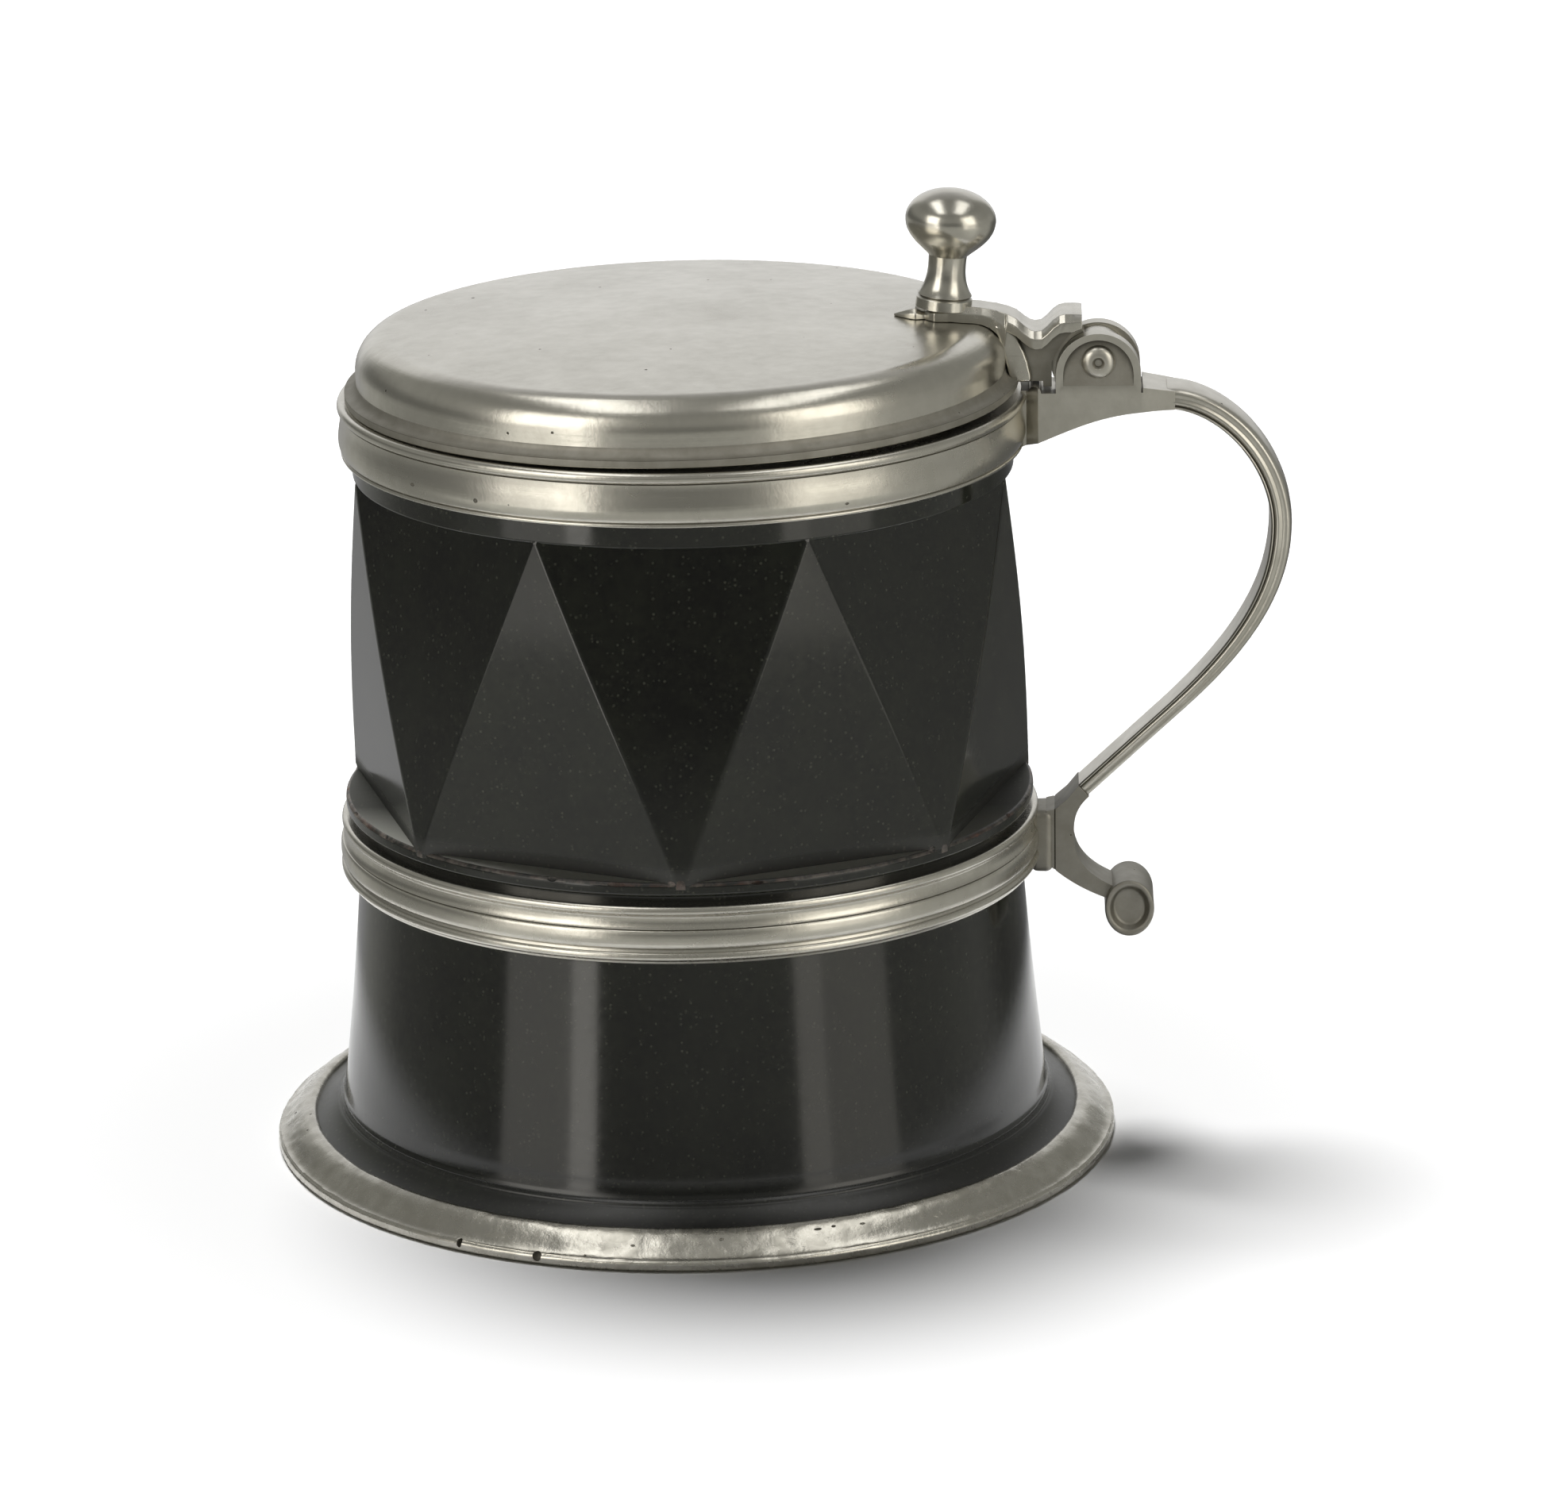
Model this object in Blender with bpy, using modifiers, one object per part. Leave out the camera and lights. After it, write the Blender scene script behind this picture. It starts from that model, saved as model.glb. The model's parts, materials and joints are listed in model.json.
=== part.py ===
"""Lidded tankard: a turned and faceted stone body in pewter mounts, with a hinged pewter lid.

Metres, +Z up. The origin is the middle of the underside, and the handle points along +X.
"""

from math import asin, cos, degrees, pi, radians, sin, tan

import bmesh
import bpy
from mathutils import Matrix, Vector

# Clearances
SOLDER_GAP = 0.0003  # between pieces that are bedded or soldered together
HINGE_PLAY = 0.0003  # each side of the lid's knuckle
PIN_PLAY = 0.00015  # round the hinge pin
LID_GAP = 0.0004  # between the closed lid and the rim band
KNUCKLE_GAP = 0.0004  # under the knuckle
CHEEK_GAP = 0.0014  # least room between the strap's heel and the cheeks

# Stone body, from the table up
STONE_FLOOR = 0.0100
STONE_WALL = 0.0042  # at its thinnest, behind the top edge of a facet
SEAT_RADIUS = 0.0542  # under the middle band
LOWER_SWELL = 0.0041  # how much the lower drum widens downwards
LOWER_HEIGHT = 0.0470  # from the table to the middle band
FLARE_HEIGHT = 0.0047
FLARE_WIDTH = 0.0060
LEDGE_STEP = 0.0023  # the round ledge stands out this far over the seat
LEDGE_HEIGHT = 0.0043
FACET_PAIRS = 7  # triangles standing, and as many hanging between them
FACET_HEIGHT = 0.0533
FACET_TAPER = 0.0033
FACET_INSET = 0.0002  # the facets' corners stop short of the ledge and the collar
FACET_EMBED = 0.0005
FACET_TURN = radians(-90)  # one lower corner faces the front
COLLAR_HEIGHT = 0.0035

# Pewter rings
FOOT_HEIGHT = 0.0043
FOOT_WIDTH = 0.0051
FOOT_LAND = 0.0005  # flat top edge against the stone
FOOT_LIP = 0.0013  # upright edge at the table
BAND_HEIGHT = 0.0085
BAND_DEPTH = 0.0031
BEAD_HEIGHT = 0.0017
GROOVE_DEPTH = 0.0006
RIM_HEIGHT = 0.0088
RIM_DEPTH = 0.0023
RIM_LIP = 0.0015  # turned in over the stone's edge
RIM_ROUND = 0.0020  # height of its round lower edge
RIM_HEM = 0.0006  # flat lower edge against the stone

# Lid
LID_WALL = 0.0020
LID_INSET = 0.0013  # the flange stops short of the rim band's outside
FLANGE_HEIGHT = 0.0013
COVE_WIDTH = 0.0019
COVE_HEIGHT = 0.0016
LID_SIDE_HEIGHT = 0.0018
SHOULDER_RADIUS = 0.0056
CROWN_RISE = 0.0018

# Hinge
PIN_REACH = 0.0115  # from the rim band's outside to the pin
PIN_RISE = 0.0051  # from the rim band's top to the pin
PIN_RADIUS = 0.0013
PIN_HEAD_RADIUS = 0.0022
PIN_HEAD_HEIGHT = 0.0009
KNUCKLE_RADIUS = 0.0045
KNUCKLE_WIDTH = 0.0048
CHEEK_THICKNESS = 0.0030
CHEEK_RADIUS = 0.00685
CHEEK_DROP = 0.0020  # the arch's centre lies this far below the pin
CHEEK_BORDER = 0.0012
CHEEK_RECESS = 0.0008
BRACKET_LENGTH = 0.0123  # from the pin to where the handle is soldered on
BRACKET_ROOT_HEIGHT = 0.0099
BRACKET_END_HEIGHT = 0.0038
ARM_RISE = 0.0008  # the bracket's arm stands over the cheeks' seat
LUG_RADIUS = 0.0010  # a round lug on the bracket beside the rim band

# Lid strap and thumbpiece
STRAP_RISE = 0.0031  # the strap's top over the lid
STRAP_TIP = 0.0090  # from the thumbpiece's middle to the leaf's point
LEAF_WIDTH = 0.0086
STRAP_NECK_WIDTH = 0.0072
HEEL_SETBACK = 0.0031  # from the pin to the heel's end
HEEL_LENGTH = 0.0023
HEEL_HEIGHT = 0.0020  # from the heel's underside, at the cheeks, to its top
HEEL_WRAP = 150  # degrees round the pin where the heel's hollow ends
NECK_INSET = 4  # degrees that the knuckle's neck keeps inside the hollow's ends
WEB_LENGTH = 0.0024  # under the strap, out from the lid's flange
VALLEY_DEPTH = 0.0049  # below the strap's top
VALLEY_WIDTH = 0.0022
THUMB_SETBACK = 0.0246  # from the pin to the middle of the thumbpiece's foot
THUMB_LEAN = radians(5)
THUMB_BASE_RADIUS = 0.0040
THUMB_NECK_RADIUS = 0.0029
THUMB_NECK_HEIGHT = 0.0066
BALL_RADIUS = 0.0071
BALL_HEIGHT = 0.0114

# Handle
HANDLE_REACH = 0.0295  # from the pin to the outermost bend
HANDLE_DROP = 0.0225  # from the bracket's top to the outermost bend
HANDLE_THICKNESS = 0.0034
HANDLE_WIDTH = 0.0096
RUN_ANGLE = radians(43)  # the straight run to the root
RUN_LENGTH = 0.0196
END_REACH = 0.0049  # from the root's inner face to the handle's lower end
END_RISE = 0.0076  # from the middle band's middle to the handle's lower end
HANDLE_EDGE = 0.0008
PAD_DEPTH = 0.0017
PAD_WIDTH = 0.0124
PAD_HEIGHT = 0.0112
ROOT_THICKNESS = 0.0032
SCROLL_RADIUS = 0.0040
SCROLL_WIDTH = 0.0112
SCROLL_WALL = 0.0009
SCROLL_RECESS = 0.0012
SCROLL_REACH = 0.01225  # from the root's inner face to the scroll's middle
SCROLL_DROP = 0.0119  # from the middle band's middle to the scroll's middle
TAIL_MEETS = (118, 166)  # degrees round the scroll that the tail runs into
ROOT_RISE = 0.0015  # the root's height over the middle band
SOLE_DROP = 0.0004  # the root's lower end under the middle band

# Curves, each by its two middle control points, as shares of the way across and of the way in height
DRUM_CURVE = ((0.25, 0.33), (0.55, 0.67))
FLARE_CURVE = ((0.06, 0.40), (0.55, 0.80))
FOOT_CURVE = ((0.35, 0.15), (0.85, 0.62))
RIM_BELLY_CURVE = ((0, 0.37), (1, 0.67))
RIM_ROUND_CURVE = ((0, 0.60), (0.53, 1))
BRACKET_CURVE = ((0.38, 0.55), (0.53, 1))
STRAP_CURVE = ((0.68, 0), (0.77, 1))
STEM_CURVE = ((0, 0.55), (0, 0.55))
HANDLE_CURVE = ((0.51, 0.05), (1, 0.51))
TAIL_TOP_CURVE = ((0, 0.65), (0.39, 0.95))
TAIL_SOLE_CURVE = ((0.33, 0.20), (0.69, 0.53))
BEND_PULL = 0.32  # shares of the lower bend's chord by which its ends hold their direction
RUN_PULL = 0.416

# Fineness and edge rounding
TURN_STEPS = 42
SMALL_STEPS = 20
ARC_STEPS = 6
CHEEK_STEPS = 18
HANDLE_STEPS = 12
BALL_STEPS = 10
EDGE = 0.0005

# Heights worked out from the sizes above
BAND_BOTTOM = LOWER_HEIGHT
BAND_TOP = BAND_BOTTOM + BAND_HEIGHT
BAND_MIDDLE = (BAND_BOTTOM + BAND_TOP) / 2
LEDGE_TOP = BAND_TOP + SOLDER_GAP + LEDGE_HEIGHT
FACET_TOP = LEDGE_TOP + FACET_HEIGHT
RIM_BOTTOM = FACET_TOP + COLLAR_HEIGHT + SOLDER_GAP
RIM_TOP = RIM_BOTTOM + RIM_HEIGHT
STONE_TOP = RIM_TOP - RIM_LIP - SOLDER_GAP
LID_BOTTOM = RIM_TOP + LID_GAP
SIDE_BOTTOM = LID_BOTTOM + FLANGE_HEIGHT + COVE_HEIGHT
SIDE_TOP = SIDE_BOTTOM + LID_SIDE_HEIGHT
PIN_Z = RIM_TOP + PIN_RISE
BRACKET_TOP = PIN_Z - KNUCKLE_RADIUS - KNUCKLE_GAP

# Radii worked out from the sizes above
LEDGE_RADIUS = SEAT_RADIUS + LEDGE_STEP
FACET_BASE_RADIUS = LEDGE_RADIUS - FACET_INSET
FACET_TOP_RADIUS = FACET_BASE_RADIUS - FACET_TAPER
COLLAR_RADIUS = FACET_TOP_RADIUS + FACET_INSET
BORE_RADIUS = FACET_TOP_RADIUS * cos(pi / FACET_PAIRS) - STONE_WALL
DRUM_RADIUS = SEAT_RADIUS + LOWER_SWELL
BASE_RADIUS = DRUM_RADIUS + FLARE_WIDTH
FOOT_INNER = BASE_RADIUS + SOLDER_GAP
FOOT_OUTER = FOOT_INNER + FOOT_WIDTH
BAND_INNER = SEAT_RADIUS + SOLDER_GAP
BAND_OUTER = BAND_INNER + BAND_DEPTH
RIM_INNER = COLLAR_RADIUS + SOLDER_GAP
RIM_OUTER = RIM_INNER + RIM_DEPTH
FLANGE_RADIUS = RIM_OUTER - LID_INSET
LID_SIDE_RADIUS = FLANGE_RADIUS - COVE_WIDTH
PIN_X = RIM_OUTER + PIN_REACH
THUMB_X = PIN_X - THUMB_SETBACK
HINGE_WIDTH = KNUCKLE_WIDTH + 2 * (HINGE_PLAY + CHEEK_THICKNESS)
PAD_FACE = BAND_OUTER + SOLDER_GAP + PAD_DEPTH
ROOT_FACE = PAD_FACE + SOLDER_GAP
SCROLL_X = ROOT_FACE + SCROLL_REACH
SCROLL_Z = BAND_MIDDLE - SCROLL_DROP
PIN = Vector((PIN_X, 0, PIN_Z))


def arc(centre, radius, start, end, count=ARC_STEPS):
    """Points on a circle in the XZ plane, from one angle to another in degrees."""
    turn = [radians(start + (end - start) * i / count) for i in range(count + 1)]
    return [(centre[0] + radius * cos(a), centre[1] + radius * sin(a)) for a in turn]


def bezier(a, b, c, d, count=ARC_STEPS):
    points = []
    for i in range(count + 1):
        t = i / count
        weights = ((1 - t) ** 3, 3 * t * (1 - t) ** 2, 3 * t * t * (1 - t), t**3)
        points.append(tuple(sum(w * p[k] for w, p in zip(weights, (a, b, c, d))) for k in (0, 1)))
    return points


def swept(start, end, shares, count=ARC_STEPS):
    """A curve whose middle control points are shares of the way from its start to its end."""
    middle = [[a + (b - a) * share for a, b, share in zip(start, end, pair)] for pair in shares]
    return bezier(start, *middle, end, count)


def lid_height(radius):
    """The lid's outer surface over the flat of its top."""
    flat = LID_SIDE_RADIUS - SHOULDER_RADIUS
    return SIDE_TOP + SHOULDER_RADIUS + CROWN_RISE * (1 - (radius / flat) ** 2)


def make_material(name, colour, roughness, metallic):
    made = bpy.data.materials.new(name)
    made.use_nodes = True
    shader = made.node_tree.nodes["Principled BSDF"]
    shader.inputs["Base Color"].default_value = (*colour, 1)
    shader.inputs["Roughness"].default_value = roughness
    shader.inputs["Metallic"].default_value = metallic
    return made


def add_object(name, data, collection, material=None):
    made = bpy.data.objects.new(name, data)
    collection.objects.link(made)
    if material:
        data.materials.append(material)
    return made


def hide(helper):
    helper.hide_render = True
    helper.display_type = "WIRE"
    return helper


def turned(name, profile, collection, material=None, closed=True, steps=TURN_STEPS):
    """A profile of (radius, height) points, turned about Z. It runs down its outer side."""
    mesh = bpy.data.meshes.new(name)
    edges = [(i, i + 1) for i in range(len(profile) - 1)]
    if closed:
        edges.append((len(profile) - 1, 0))
    mesh.from_pydata([(r, 0, z) for r, z in profile], edges, [])
    made = add_object(name, mesh, collection, material)
    screw = made.modifiers.new("Turning", "SCREW")
    screw.steps = screw.render_steps = steps
    screw.use_merge_vertices = True
    screw.merge_threshold = 1e-5
    screw.use_smooth_shade = True
    return made


def as_mesh(source, collection):
    """Replaces a curve or a turned piece by the mesh that it makes, with its ends welded."""
    bpy.context.view_layer.update()
    graph = bpy.context.evaluated_depsgraph_get()
    mesh = bpy.data.meshes.new_from_object(source.evaluated_get(graph))
    body = bmesh.new()
    body.from_mesh(mesh)
    bmesh.ops.remove_doubles(body, verts=body.verts, dist=1e-6)
    bmesh.ops.recalc_face_normals(body, faces=body.faces)
    body.to_mesh(mesh)
    body.free()
    name, place = source.name, source.matrix_world.copy()
    bpy.data.objects.remove(source)
    made = add_object(name, mesh, collection)
    made.matrix_world = place
    return made


def flat_piece(name, outline, width, collection, material=None, middle=0, lying=False):
    """An outline in the XZ plane with its width along Y, or in the XY plane with its width along Z."""
    curve = bpy.data.curves.new(name, "CURVE")
    curve.dimensions = "2D"
    curve.fill_mode = "BOTH"
    curve.extrude = width / 2
    spline = curve.splines.new("POLY")
    spline.points.add(len(outline) - 1)
    for point, (u, v) in zip(spline.points, outline):
        point.co = (u, v, 0, 1)
    spline.use_cyclic_u = True
    if material:
        curve.materials.append(material)
    made = add_object(name, curve, collection)
    if lying:
        made.matrix_world = Matrix.Translation((0, 0, middle))
    else:
        made.matrix_world = Matrix.Translation((0, middle, 0)) @ Matrix.Rotation(pi / 2, 4, "X")
    return as_mesh(made, collection)


def cylinder(name, radius, length, place, collection, across=True):
    """A round bar to join or to cut with, lying across along Y or standing along Z."""
    steps = SMALL_STEPS if across else TURN_STEPS
    body = bmesh.new()
    bmesh.ops.create_cone(
        body, cap_ends=True, segments=steps, radius1=radius, radius2=radius, depth=length
    )
    mesh = bpy.data.meshes.new(name)
    body.to_mesh(mesh)
    body.free()
    made = add_object(name, mesh, collection)
    turn = Matrix.Rotation(pi / 2, 4, "X") if across else Matrix.Identity(4)
    made.matrix_world = Matrix.Translation(place) @ turn
    return made


def combine(piece, other, operation):
    step = piece.modifiers.new(operation.title(), "BOOLEAN")
    step.operation = operation
    step.object = hide(other)


def round_edges(piece, width=EDGE):
    step = piece.modifiers.new("Worn edges", "BEVEL")
    step.width = width
    step.segments = 2
    step.limit_method = "ANGLE"
    step.angle_limit = radians(50)
    step.use_clamp_overlap = True


def make_stone(parts, helpers, stone):
    """The body, turned from one block, with flat triangles ground round its upper part."""
    core = BORE_RADIUS + STONE_WALL / 2
    flare_top = (DRUM_RADIUS, FOOT_HEIGHT + FLARE_HEIGHT)
    lower_drum = swept((SEAT_RADIUS, BAND_BOTTOM - SOLDER_GAP), flare_top, DRUM_CURVE)
    flare = swept(flare_top, (BASE_RADIUS, FOOT_HEIGHT), FLARE_CURVE)
    profile = [
        (0, STONE_TOP),
        (COLLAR_RADIUS, STONE_TOP),
        (COLLAR_RADIUS, FACET_TOP),
        (core, FACET_TOP),
        (core, LEDGE_TOP),
        (LEDGE_RADIUS, LEDGE_TOP),
        (LEDGE_RADIUS, BAND_TOP + SOLDER_GAP),
        (SEAT_RADIUS, BAND_TOP + SOLDER_GAP),
        *lower_drum,
        *flare[1:],
        (BASE_RADIUS, 0),
        (0, 0),
    ]
    body = turned("stone_body", profile, parts, stone, closed=False)
    drum = bmesh.new()
    step = 2 * pi / FACET_PAIRS
    for radius, height, turn in (
        (FACET_BASE_RADIUS, LEDGE_TOP - FACET_EMBED, FACET_TURN),
        (FACET_TOP_RADIUS, FACET_TOP + FACET_EMBED, FACET_TURN + step / 2),
    ):
        for i in range(FACET_PAIRS):
            angle = turn + i * step
            drum.verts.new((radius * cos(angle), radius * sin(angle), height))
    bmesh.ops.convex_hull(drum, input=drum.verts)
    mesh = bpy.data.meshes.new("facet_drum")
    drum.to_mesh(mesh)
    drum.free()
    combine(body, add_object("facet_drum", mesh, helpers), "UNION")
    deep = STONE_TOP - STONE_FLOOR
    middle = (0, 0, STONE_FLOOR + deep)
    bore = cylinder("bore", BORE_RADIUS, 2 * deep, middle, helpers, across=False)
    combine(body, bore, "DIFFERENCE")


def make_rings(parts, pewter, worn_pewter):
    """The three pewter rings round the stone."""
    slope = swept((FOOT_INNER + FOOT_LAND, FOOT_HEIGHT), (FOOT_OUTER, FOOT_LIP), FOOT_CURVE)
    foot = [(FOOT_INNER, FOOT_HEIGHT), *slope, (FOOT_OUTER - EDGE, 0), (FOOT_INNER, 0)]
    turned("foot_ring", foot, parts, worn_pewter)

    bead = BEAD_HEIGHT / 2
    low = BAND_OUTER - GROOVE_DEPTH
    belly = [
        (low + GROOVE_DEPTH * sin(a), BAND_MIDDLE + (BAND_HEIGHT / 2 - BEAD_HEIGHT) * cos(a))
        for a in (pi * i / ARC_STEPS for i in range(ARC_STEPS + 1))
    ]
    band = [
        (BAND_INNER, BAND_TOP),
        *arc((low - bead / 2, BAND_TOP - bead), bead, 90, -60, 3),
        *belly,
        *arc((low - bead / 2, BAND_BOTTOM + bead), bead, 60, -90, 3),
        (BAND_INNER, BAND_BOTTOM),
    ]
    turned("middle_band", band, parts, pewter)

    top_bead = (RIM_OUTER - bead, RIM_TOP - bead)
    waist = (RIM_OUTER - GROOVE_DEPTH, RIM_TOP - BEAD_HEIGHT)
    belly = (RIM_OUTER, RIM_BOTTOM + RIM_ROUND)
    rim = [
        (BORE_RADIUS, RIM_TOP),
        *arc(top_bead, bead, 90, -60, 3),
        *swept(waist, belly, RIM_BELLY_CURVE, 4),
        *swept(belly, (RIM_INNER + RIM_HEM, RIM_BOTTOM), RIM_ROUND_CURVE, 3)[1:],
        (RIM_INNER, RIM_BOTTOM),
        (RIM_INNER, RIM_TOP - RIM_LIP),
        (BORE_RADIUS, RIM_TOP - RIM_LIP),
    ]
    turned("rim_band", rim, parts, pewter)


def make_lid(parts, pewter):
    """The flat-domed cover, hollow underneath, with a flange that rests over the rim band."""
    shoulder = (LID_SIDE_RADIUS - SHOULDER_RADIUS, SIDE_TOP)
    flat = shoulder[0]
    crown = [(flat * i / 3, lid_height(flat * i / 3)) for i in range(3)]
    cove = (FLANGE_RADIUS, SIDE_BOTTOM)
    hollow = [(r, z - LID_WALL) for r, z in reversed(crown)]
    profile = [
        *crown,
        *arc(shoulder, SHOULDER_RADIUS, 90, 0),
        *[
            (cove[0] - COVE_WIDTH * cos(a), cove[1] - COVE_HEIGHT * sin(a))
            for a in (pi / 2 * i / 3 for i in range(4))
        ],
        (FLANGE_RADIUS, LID_BOTTOM),
        (LID_SIDE_RADIUS - LID_WALL, LID_BOTTOM),
        *arc(shoulder, SHOULDER_RADIUS - LID_WALL, 0, 90, 3),
        *hollow,
    ]
    return turned("lid_cover", profile, parts, pewter, closed=False)


def make_hinge(parts, helpers, pewter):
    """The bracket on the rim band, its two cheeks, and the pin through them."""
    root = (RIM_INNER, BRACKET_TOP - BRACKET_ROOT_HEIGHT)
    end_x = PIN_X + BRACKET_LENGTH
    arm_x = PIN_X + CHEEK_RADIUS + SOLDER_GAP
    lug_x = RIM_OUTER + SOLDER_GAP + LUG_RADIUS
    outline = [
        *swept(root, (end_x, BRACKET_TOP - BRACKET_END_HEIGHT), BRACKET_CURVE),
        (end_x, BRACKET_TOP),
        (arm_x, BRACKET_TOP + ARM_RISE),
        (arm_x, BRACKET_TOP),
        *arc((lug_x, BRACKET_TOP), LUG_RADIUS, 0, 180, 4),
        (RIM_INNER, BRACKET_TOP),
    ]
    bracket = flat_piece("hinge_bracket", outline, HINGE_WIDTH, parts, pewter)
    tall = 4 * BRACKET_ROOT_HEIGHT
    middle = (0, 0, BRACKET_TOP)
    rim = cylinder("rim_clearance", RIM_OUTER + SOLDER_GAP, tall, middle, helpers, across=False)
    combine(bracket, rim, "DIFFERENCE")

    centre = (PIN_X, PIN_Z - CHEEK_DROP)
    foot = BRACKET_TOP + SOLDER_GAP
    arch = [
        (PIN_X + CHEEK_RADIUS, foot),
        *arc(centre, CHEEK_RADIUS, 0, 180, CHEEK_STEPS),
        (PIN_X - CHEEK_RADIUS, foot),
    ]
    inner = CHEEK_RADIUS - CHEEK_BORDER
    sill = min(centre[1], PIN_Z - PIN_HEAD_RADIUS) - CHEEK_BORDER / 2
    sunk = [(PIN_X + inner, sill), *arc(centre, inner, 0, 180, CHEEK_STEPS), (PIN_X - inner, sill)]
    middle = (KNUCKLE_WIDTH + CHEEK_THICKNESS) / 2 + HINGE_PLAY
    for name, side in (("hinge_cheek_front", -1), ("hinge_cheek_back", 1)):
        cheek = flat_piece(name, arch, CHEEK_THICKNESS, parts, pewter, middle=side * middle)
        face = side * HINGE_WIDTH / 2
        recess = flat_piece(name + "_recess", sunk, 2 * CHEEK_RECESS, helpers, middle=face)
        hole = cylinder(name + "_hole", PIN_RADIUS + PIN_PLAY, HINGE_WIDTH, PIN, helpers)
        combine(cheek, recess, "DIFFERENCE")
        combine(cheek, hole, "DIFFERENCE")

    seat = HINGE_WIDTH / 2 - CHEEK_RECESS + SOLDER_GAP
    top = seat + PIN_HEAD_HEIGHT
    head = [
        (0, top),
        (PIN_HEAD_RADIUS - EDGE, top),
        (PIN_HEAD_RADIUS, top - EDGE),
        (PIN_HEAD_RADIUS, seat),
        (PIN_RADIUS, seat),
    ]
    profile = [*head, *[(r, -z) for r, z in reversed(head)]]
    pin = turned("hinge_pin", profile, parts, pewter, closed=False, steps=SMALL_STEPS)
    pin.matrix_world = Matrix.Translation(PIN) @ Matrix.Rotation(pi / 2, 4, "X")


def make_lid_strap(parts, helpers, pewter):
    """The strap soldered over the lid's shoulder, from a leaf to a heel with the hinge's knuckle."""
    lift = SOLDER_GAP
    shoulder = (LID_SIDE_RADIUS - SHOULDER_RADIUS, SIDE_TOP)
    tip = THUMB_X - STRAP_TIP
    top = lid_height(THUMB_X) + STRAP_RISE
    valley = top - VALLEY_DEPTH
    hug = CHEEK_RADIUS - CHEEK_DROP + CHEEK_GAP
    heel_angle = 90 + degrees(asin(HEEL_SETBACK / hug))
    heel = arc((PIN_X, PIN_Z), hug, heel_angle, HEEL_WRAP)
    heel_x, heel_z = heel[0]
    heel_top = heel_z + HEEL_HEIGHT
    heel_start = heel_x - HEEL_LENGTH
    valley_end = heel_start - (heel_top - valley)
    valley_x = valley_end - VALLEY_WIDTH
    web_z = LID_BOTTOM + FLANGE_HEIGHT + lift
    upper = [
        (tip - EDGE, lid_height(tip) + lift),
        (tip - EDGE, lid_height(tip) + STRAP_RISE / 2),
        (tip + STRAP_TIP / 2, top),
        *swept((THUMB_X, top), (valley_x, valley), STRAP_CURVE, 8),
        (valley_end, valley),
        (heel_start, heel_top),
        (heel_x, heel_top),
    ]
    lower = [
        (FLANGE_RADIUS + WEB_LENGTH, web_z),
        (FLANGE_RADIUS, web_z),
        (LID_SIDE_RADIUS + lift, SIDE_BOTTOM),
        *arc(shoulder, SHOULDER_RADIUS + lift, 0, 90),
    ]
    strap = flat_piece("lid_strap", [*upper, *heel, *lower], HINGE_WIDTH, parts, pewter)

    leaf_x = tip + STRAP_TIP / 2
    half = HINGE_WIDTH / 2 + EDGE
    plan = [
        (tip, 0),
        (tip + STRAP_TIP / 4, LEAF_WIDTH / 3),
        (leaf_x, LEAF_WIDTH / 2),
        (THUMB_X, STRAP_NECK_WIDTH / 2),
        (shoulder[0], STRAP_NECK_WIDTH / 2),
        (valley_x, half),
        (PIN_X, half),
    ]
    mirrored = [(x, -y) for x, y in reversed(plan[1:])]
    leaf = flat_piece("leaf_outline", plan + mirrored, top, helpers, middle=top, lying=True)
    combine(strap, leaf, "INTERSECT")

    throat = arc((PIN_X, PIN_Z), hug + EDGE, heel_angle + NECK_INSET, HEEL_WRAP - NECK_INSET)
    neck = flat_piece("knuckle_neck", [*throat, (PIN_X, PIN_Z)], KNUCKLE_WIDTH, helpers)
    knuckle = cylinder("knuckle", KNUCKLE_RADIUS, KNUCKLE_WIDTH, PIN, helpers)
    combine(neck, knuckle, "UNION")
    combine(strap, neck, "UNION")
    hole = cylinder("knuckle_hole", PIN_RADIUS + PIN_PLAY, HINGE_WIDTH, PIN, helpers)
    combine(strap, hole, "DIFFERENCE")
    return strap


def make_thumbpiece(parts, pewter):
    """A turned ball on a waisted stem, soldered to the strap and leaning towards the hinge."""
    half = BALL_HEIGHT / 2
    ball = THUMB_NECK_HEIGHT + half
    meet = asin(THUMB_NECK_RADIUS / BALL_RADIUS)
    round_part = [
        (BALL_RADIUS * sin(a), ball + half * cos(a))
        for a in ((pi - meet) * i / BALL_STEPS for i in range(BALL_STEPS + 1))
    ]
    stem = swept(round_part[-1], (THUMB_BASE_RADIUS, 0), STEM_CURVE)
    profile = [*round_part, *stem[1:], (0, 0)]
    piece = as_mesh(turned("thumbpiece", profile, parts, pewter, closed=False, steps=SMALL_STEPS), parts)
    piece.data.transform(Matrix.Shear("XY", 4, (tan(THUMB_LEAN), 0)))
    piece.location = (THUMB_X, 0, lid_height(THUMB_X) + STRAP_RISE + SOLDER_GAP)
    return piece


def handle_line():
    """The middle of the handle strap, from the bracket round the bend and down to its lower end."""
    run = Vector((cos(RUN_ANGLE), sin(RUN_ANGLE)))
    start = Vector((PIN_X + BRACKET_LENGTH + SOLDER_GAP, BRACKET_TOP - BRACKET_END_HEIGHT / 2))
    bend = Vector((PIN_X + HANDLE_REACH, BRACKET_TOP - HANDLE_DROP))
    end = Vector((ROOT_FACE + END_REACH, BAND_MIDDLE + END_RISE))
    straight = end + RUN_LENGTH * run
    chord = (bend - straight).length
    down = Vector((0, BEND_PULL * chord))
    return [
        *swept(start, bend, HANDLE_CURVE, HANDLE_STEPS),
        *bezier(bend, bend - down, straight + RUN_PULL * chord * run, straight, HANDLE_STEPS)[1:],
        tuple(end),
    ]


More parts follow.
